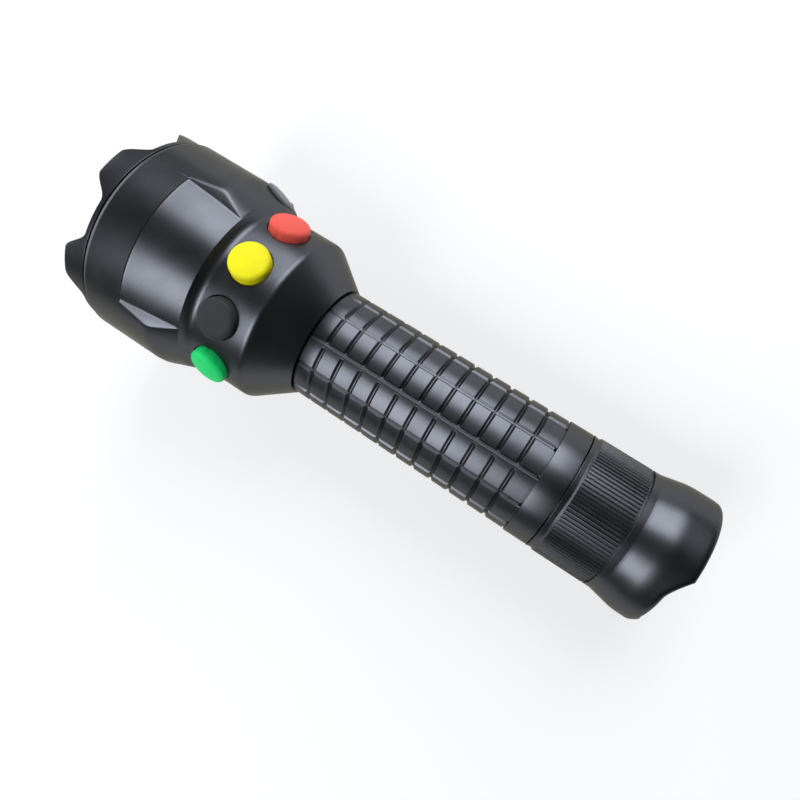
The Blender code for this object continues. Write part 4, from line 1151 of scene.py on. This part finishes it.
class SIGNAL_LAMP_OT_lens(bpy.types.Operator):
    """Make the front glass, the reflector bowl and the O-ring seals"""
    bl_idname = "signal_lamp.lens"
    bl_label = "Lens, Bowl and Seals"

    def execute(self, context):
        edge = lamp_shape().edge_rounding
        outline = rounded([(LENS_FRONT, 0, 0), (LENS_FRONT, LENS_RADIUS, edge),
                           (LENS_REAR, LENS_RADIUS, edge), (LENS_REAR, 0, 0)], steps=2)
        glass = turned("lens_disc", outline, [(2 * pi, LENS_COLUMNS)])
        dress(glass, "front_lens", "torch", lens_glass())
        throat = (EMITTER_PITCH / 2 + EMITTER_SIDE / 2) * sqrt(2) + SEAL_GAP
        inside = self.bowl(BOWL_MOUTH, throat, BOWL_FRONT)
        outside = self.bowl(BOWL_MOUTH + BOWL_WALL, throat + BOWL_WALL, BOWL_FLANGE)
        flange = [(BOWL_FLANGE, LENS_RADIUS), (BOWL_FRONT, LENS_RADIUS)]
        bowl = turned("reflector_bowl", closed([*outside, *flange, *reversed(inside)]),
                      [(2 * pi, BOWL_COLUMNS)])
        dress(bowl, "reflector", "torch", mirror())
        spigot_seal = SPIGOT_RADIUS - SEAL_WIRE + SEAL_GAP / 2
        places = {"lens": (BEZEL_REAR + SEAL_GAP + SEAL_WIRE, BEZEL_BORE + SEAL_WIRE + SEAL_GAP),
                  "neck": (FRONT_SEAL, spigot_seal), "tail": (REAR_SEAL, spigot_seal)}
        finish = rubber("seal_ring_rubber", SEAL_BLACK, roughness=0.4)
        for name, place in places.items():
            ring = turned(f"{name}_o_ring", arc(place, SEAL_WIRE, 0, 2 * pi, SEAL_STEPS),
                          [(2 * pi, BOWL_COLUMNS)])
            dress(ring, f"{name}_seal", "torch", finish)
        return {"FINISHED"}

    def bowl(self, mouth, throat, front):
        """Points of a parabola from its throat to its mouth."""
        shares = [(i / BOWL_STEPS) ** BOWL_CURVE for i in range(BOWL_STEPS + 1)]
        return [(BOWL_REAR - (BOWL_REAR - front) * share,
                 sqrt(throat ** 2 + (mouth ** 2 - throat ** 2) * share)) for share in shares]


class SIGNAL_LAMP_OT_emitters(bpy.types.Operator):
    """Make the four light emitters in the bowl's throat"""
    bl_idname = "signal_lamp.emitters"
    bl_label = "Emitters"

    def execute(self, context):
        size = (EMITTER_REAR - EMITTER_FRONT, EMITTER_SIDE, EMITTER_SIDE)
        middle = (EMITTER_FRONT + EMITTER_REAR) / 2
        curve = arc((EMITTER_FRONT, 0), EMITTER_DOME, -pi / 2, 0, DOME_STEPS)
        for name, (up, side, colour) in EMITTERS.items():
            base = block(f"{name}_emitter", size, middle)
            modify(base, "BEVEL", width=EMITTER_EDGE, segments=2)
            dome = turned("dome", [*curve, (middle, EMITTER_DOME), (middle, 0)], [(2 * pi, DOME_COLUMNS)], 0)
            combine(base, dome, "UNION")
            place = (HEAD_FRONT, -side * EMITTER_PITCH / 2, up * EMITTER_PITCH / 2)
            settle(base, Matrix.Translation(place))
            dress(base, f"{name}_led", "torch",
                  emitter(f"{name}_emitter_dome", colour))
        return {"FINISHED"}


class SIGNAL_LAMP_OT_inner_finishes(bpy.types.Operator):
    """Give the frame's own inner pieces their finishes"""
    bl_idname = "signal_lamp.inner_finishes"
    bl_label = "Inner Finishes"

    def execute(self, context):
        colours = lamp_colours()
        finishes = (
            (circuit_board(), ("led_board", "driver_board", "charge_board", "tail_contact_board")),
            (moulded_plastic(), ("switch_carrier", "tail_switch", *(f"{n}_switch" for n in BUTTON_ANGLES))),
            (bright_metal("turned_aluminium", ALUMINIUM, roughness=0.32, lay=(6, 1, 1)),
             ("heat_sink", "switch_retainer")),
            (bright_metal("plated_steel_wire", STEEL, roughness=0.28),
             ("board_screw_1", "board_screw_2", "charge_socket", "tail_spring")),
            (bright_metal("gilded_brass", BRASS, roughness=0.26, lay=(5, 1, 1)), ("front_contact",)),
            (cell_wrap(), ("battery_cell",)),
            (rubber("red_lead_sheath", colours.red), ("red_lead",)),
            (rubber("black_lead_sheath", colours.black), ("black_lead",)),
        )
        for material, names in finishes:
            for name in names:
                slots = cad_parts[name].data.materials
                slots.clear()
                slots.append(material)
        return {"FINISHED"}


def floor_paper():
    """White paper that the camera and glass see as white, and gloss does near the lamp."""
    material = new_finish("white_paper_floor", FLOOR_WHITE, roughness=0.9, Specular_IOR_Level=0.0)
    nodes = material.node_tree.nodes
    ray = nodes.new("ShaderNodeLightPath").outputs
    near = add_node(material, "ShaderNodeMapping", own_place(material), Scale=FLOOR_STRETCH)
    reach = add_node(material, "ShaderNodeVectorMath", near.outputs["Vector"], operation="LENGTH")
    fade = add_node(material, "ShaderNodeMapRange", reach.outputs["Value"],
                    From_Min=0.05, From_Max=0.2, To_Min=1, To_Max=0.08)
    gloss = add_node(material, "ShaderNodeMath", ray["Is Glossy Ray"], fade.outputs["Result"],
                     operation="MULTIPLY")
    seen = add_node(material, "ShaderNodeMath", ray["Is Camera Ray"], ray["Is Transmission Ray"],
                    operation="MAXIMUM")
    both = add_node(material, "ShaderNodeMath", seen.outputs["Value"], gloss.outputs["Value"],
                    operation="MAXIMUM")
    glow = add_node(material, "ShaderNodeEmission", Color=(1, 1, 1, 1), Strength=FLOOR_GLOW)
    paper = add_node(material, "ShaderNodeBsdfDiffuse", Color=(*FLOOR_SHADOWED, 1))
    bright = add_node(material, "ShaderNodeAddShader", glow.outputs["Emission"], paper.outputs["BSDF"])
    mix = add_node(material, "ShaderNodeMixShader", both.outputs["Value"],
                   nodes["Principled BSDF"].outputs["BSDF"], bright.outputs["Shader"])
    material.node_tree.links.new(mix.outputs["Shader"], nodes["Material Output"].inputs["Surface"])
    return material


def studio_world():
    """Pale cove near the horizon that fades to a dim ceiling."""
    world = bpy.data.worlds.new("studio")
    world.use_nodes = True
    place = add_node(world, "ShaderNodeTexCoord")
    height = add_node(world, "ShaderNodeSeparateXYZ", place.outputs["Generated"])
    fade = add_node(world, "ShaderNodeMapRange", height.outputs["Z"],
                    From_Min=0.2, From_Max=0.5, To_Min=0.07, To_Max=0.055)
    fade.interpolation_type = "SMOOTHSTEP"
    background = world.node_tree.nodes["Background"]
    background.inputs["Color"].default_value = (*COVE_WHITE, 1)
    world.node_tree.links.new(fade.outputs["Result"], background.inputs["Strength"])
    bpy.context.scene.world = world


def aim(item, right, up):
    """Turn a lamp or camera so that its own X points right and its own Y up."""
    item.rotation_mode = "QUATERNION"
    item.rotation_quaternion = Matrix((right, up, right.cross(up))).transposed().to_quaternion()


def add_softbox(name, length, width):
    """Add a softbox at an angle from the zenith, aimed at the lamp's middle."""
    studio = bpy.context.scene.signal_lamp_studio
    power, angle, tilt = (getattr(studio, f"{name}_{key}") for key in ("power", "angle", "tilt"))
    deselect()
    way = Vector((-sin(tilt), sin(angle) * cos(tilt), cos(angle) * cos(tilt)))
    bpy.ops.object.light_add(type="AREA", location=way * studio.softbox_distance)
    lamp = bpy.context.object
    lamp.name = name
    lamp.data.shape = "RECTANGLE"
    lamp.data.size = length
    lamp.data.size_y = width
    lamp.data.energy = power
    lamp.data.color = SOFTBOX_WHITE
    across = Vector((1, 0, 0)) - way * way.x
    across.normalize()
    aim(lamp, across, way.cross(across))


class SIGNAL_LAMP_OT_studio(bpy.types.Operator):
    """Set the floor, the softboxes, the world and the camera"""
    bl_idname = "signal_lamp.studio"
    bl_label = "Studio"

    def execute(self, context):
        context.scene.view_settings.view_transform = "Standard"
        studio_world()
        for name, size in SOFTBOXES.items():
            add_softbox(name, *size)
        deselect()
        anchor = Vector((HEAD_FRONT + BARREL_END, 0, -HEAD_RADIUS))
        rear = [vertex.co for vertex in bpy.data.objects["tail_cap_shell"].data.vertices]
        slope = min((co.z - anchor.z) / (co.x - anchor.x) for co in rear)
        bpy.ops.mesh.primitive_plane_add(size=FLOOR_SIZE)
        floor_piece = context.object
        floor_piece.name = "studio_floor"
        settle(floor_piece, Matrix.Translation(anchor) @ Matrix.Rotation(-atan(slope), 4, "Y"))
        floor_piece.data.materials.append(floor_paper())
        deselect()
        bpy.ops.object.camera_add(location=CAMERA_PLACE)
        camera = context.object
        camera.name = "photo_camera"
        aim(camera, Vector(CAMERA_RIGHT), Vector(CAMERA_UP))
        camera.data.sensor_width = SENSOR_WIDTH
        camera.data.lens = context.scene.signal_lamp_studio.lens
        camera.data.clip_start = MM
        context.scene.camera = camera
        return {"FINISHED"}


STEPS = (
    SIGNAL_LAMP_OT_bezel,
    SIGNAL_LAMP_OT_head,
    SIGNAL_LAMP_OT_buttons,
    SIGNAL_LAMP_OT_plug,
    SIGNAL_LAMP_OT_grip,
    SIGNAL_LAMP_OT_cap,
    SIGNAL_LAMP_OT_boot,
    SIGNAL_LAMP_OT_lens,
    SIGNAL_LAMP_OT_emitters,
    SIGNAL_LAMP_OT_inner_finishes,
    SIGNAL_LAMP_OT_studio,
)


class SIGNAL_LAMP_PT_sidebar(bpy.types.Panel):
    """Lists the steps and their settings"""
    bl_label = "Signal Lamp"
    bl_idname = "SIGNAL_LAMP_PT_sidebar"
    bl_space_type = "VIEW_3D"
    bl_region_type = "UI"
    bl_category = "Signal Lamp"

    def draw(self, context):
        for group in ("signal_lamp_shape", "signal_lamp_colours", "signal_lamp_studio"):
            settings = getattr(context.scene, group)
            box = self.layout.box()
            for key in settings.__annotations__:
                box.prop(settings, key, text=key.replace("_", " ").title())
        for step in STEPS:
            self.layout.operator(step.bl_idname)


GROUPS = {
    "signal_lamp_shape": SignalLampShape,
    "signal_lamp_colours": SignalLampColours,
    "signal_lamp_studio": SignalLampStudio,
}


def register():
    """Register the classes and hang the settings on the scene."""
    for item in (*GROUPS.values(), *STEPS, SIGNAL_LAMP_PT_sidebar):
        bpy.utils.register_class(item)
    for name, group in GROUPS.items():
        setattr(bpy.types.Scene, name, PointerProperty(type=group))


def unregister():
    """Remove the settings and the classes."""
    for name in GROUPS:
        delattr(bpy.types.Scene, name)
    for item in reversed((*GROUPS.values(), *STEPS, SIGNAL_LAMP_PT_sidebar)):
        bpy.utils.unregister_class(item)


def main():
    """Run every step in order."""
    register()
    for step in STEPS:
        group, name = step.bl_idname.split(".")
        getattr(getattr(bpy.ops, group), name)()


if __name__ == "__main__":
    main()
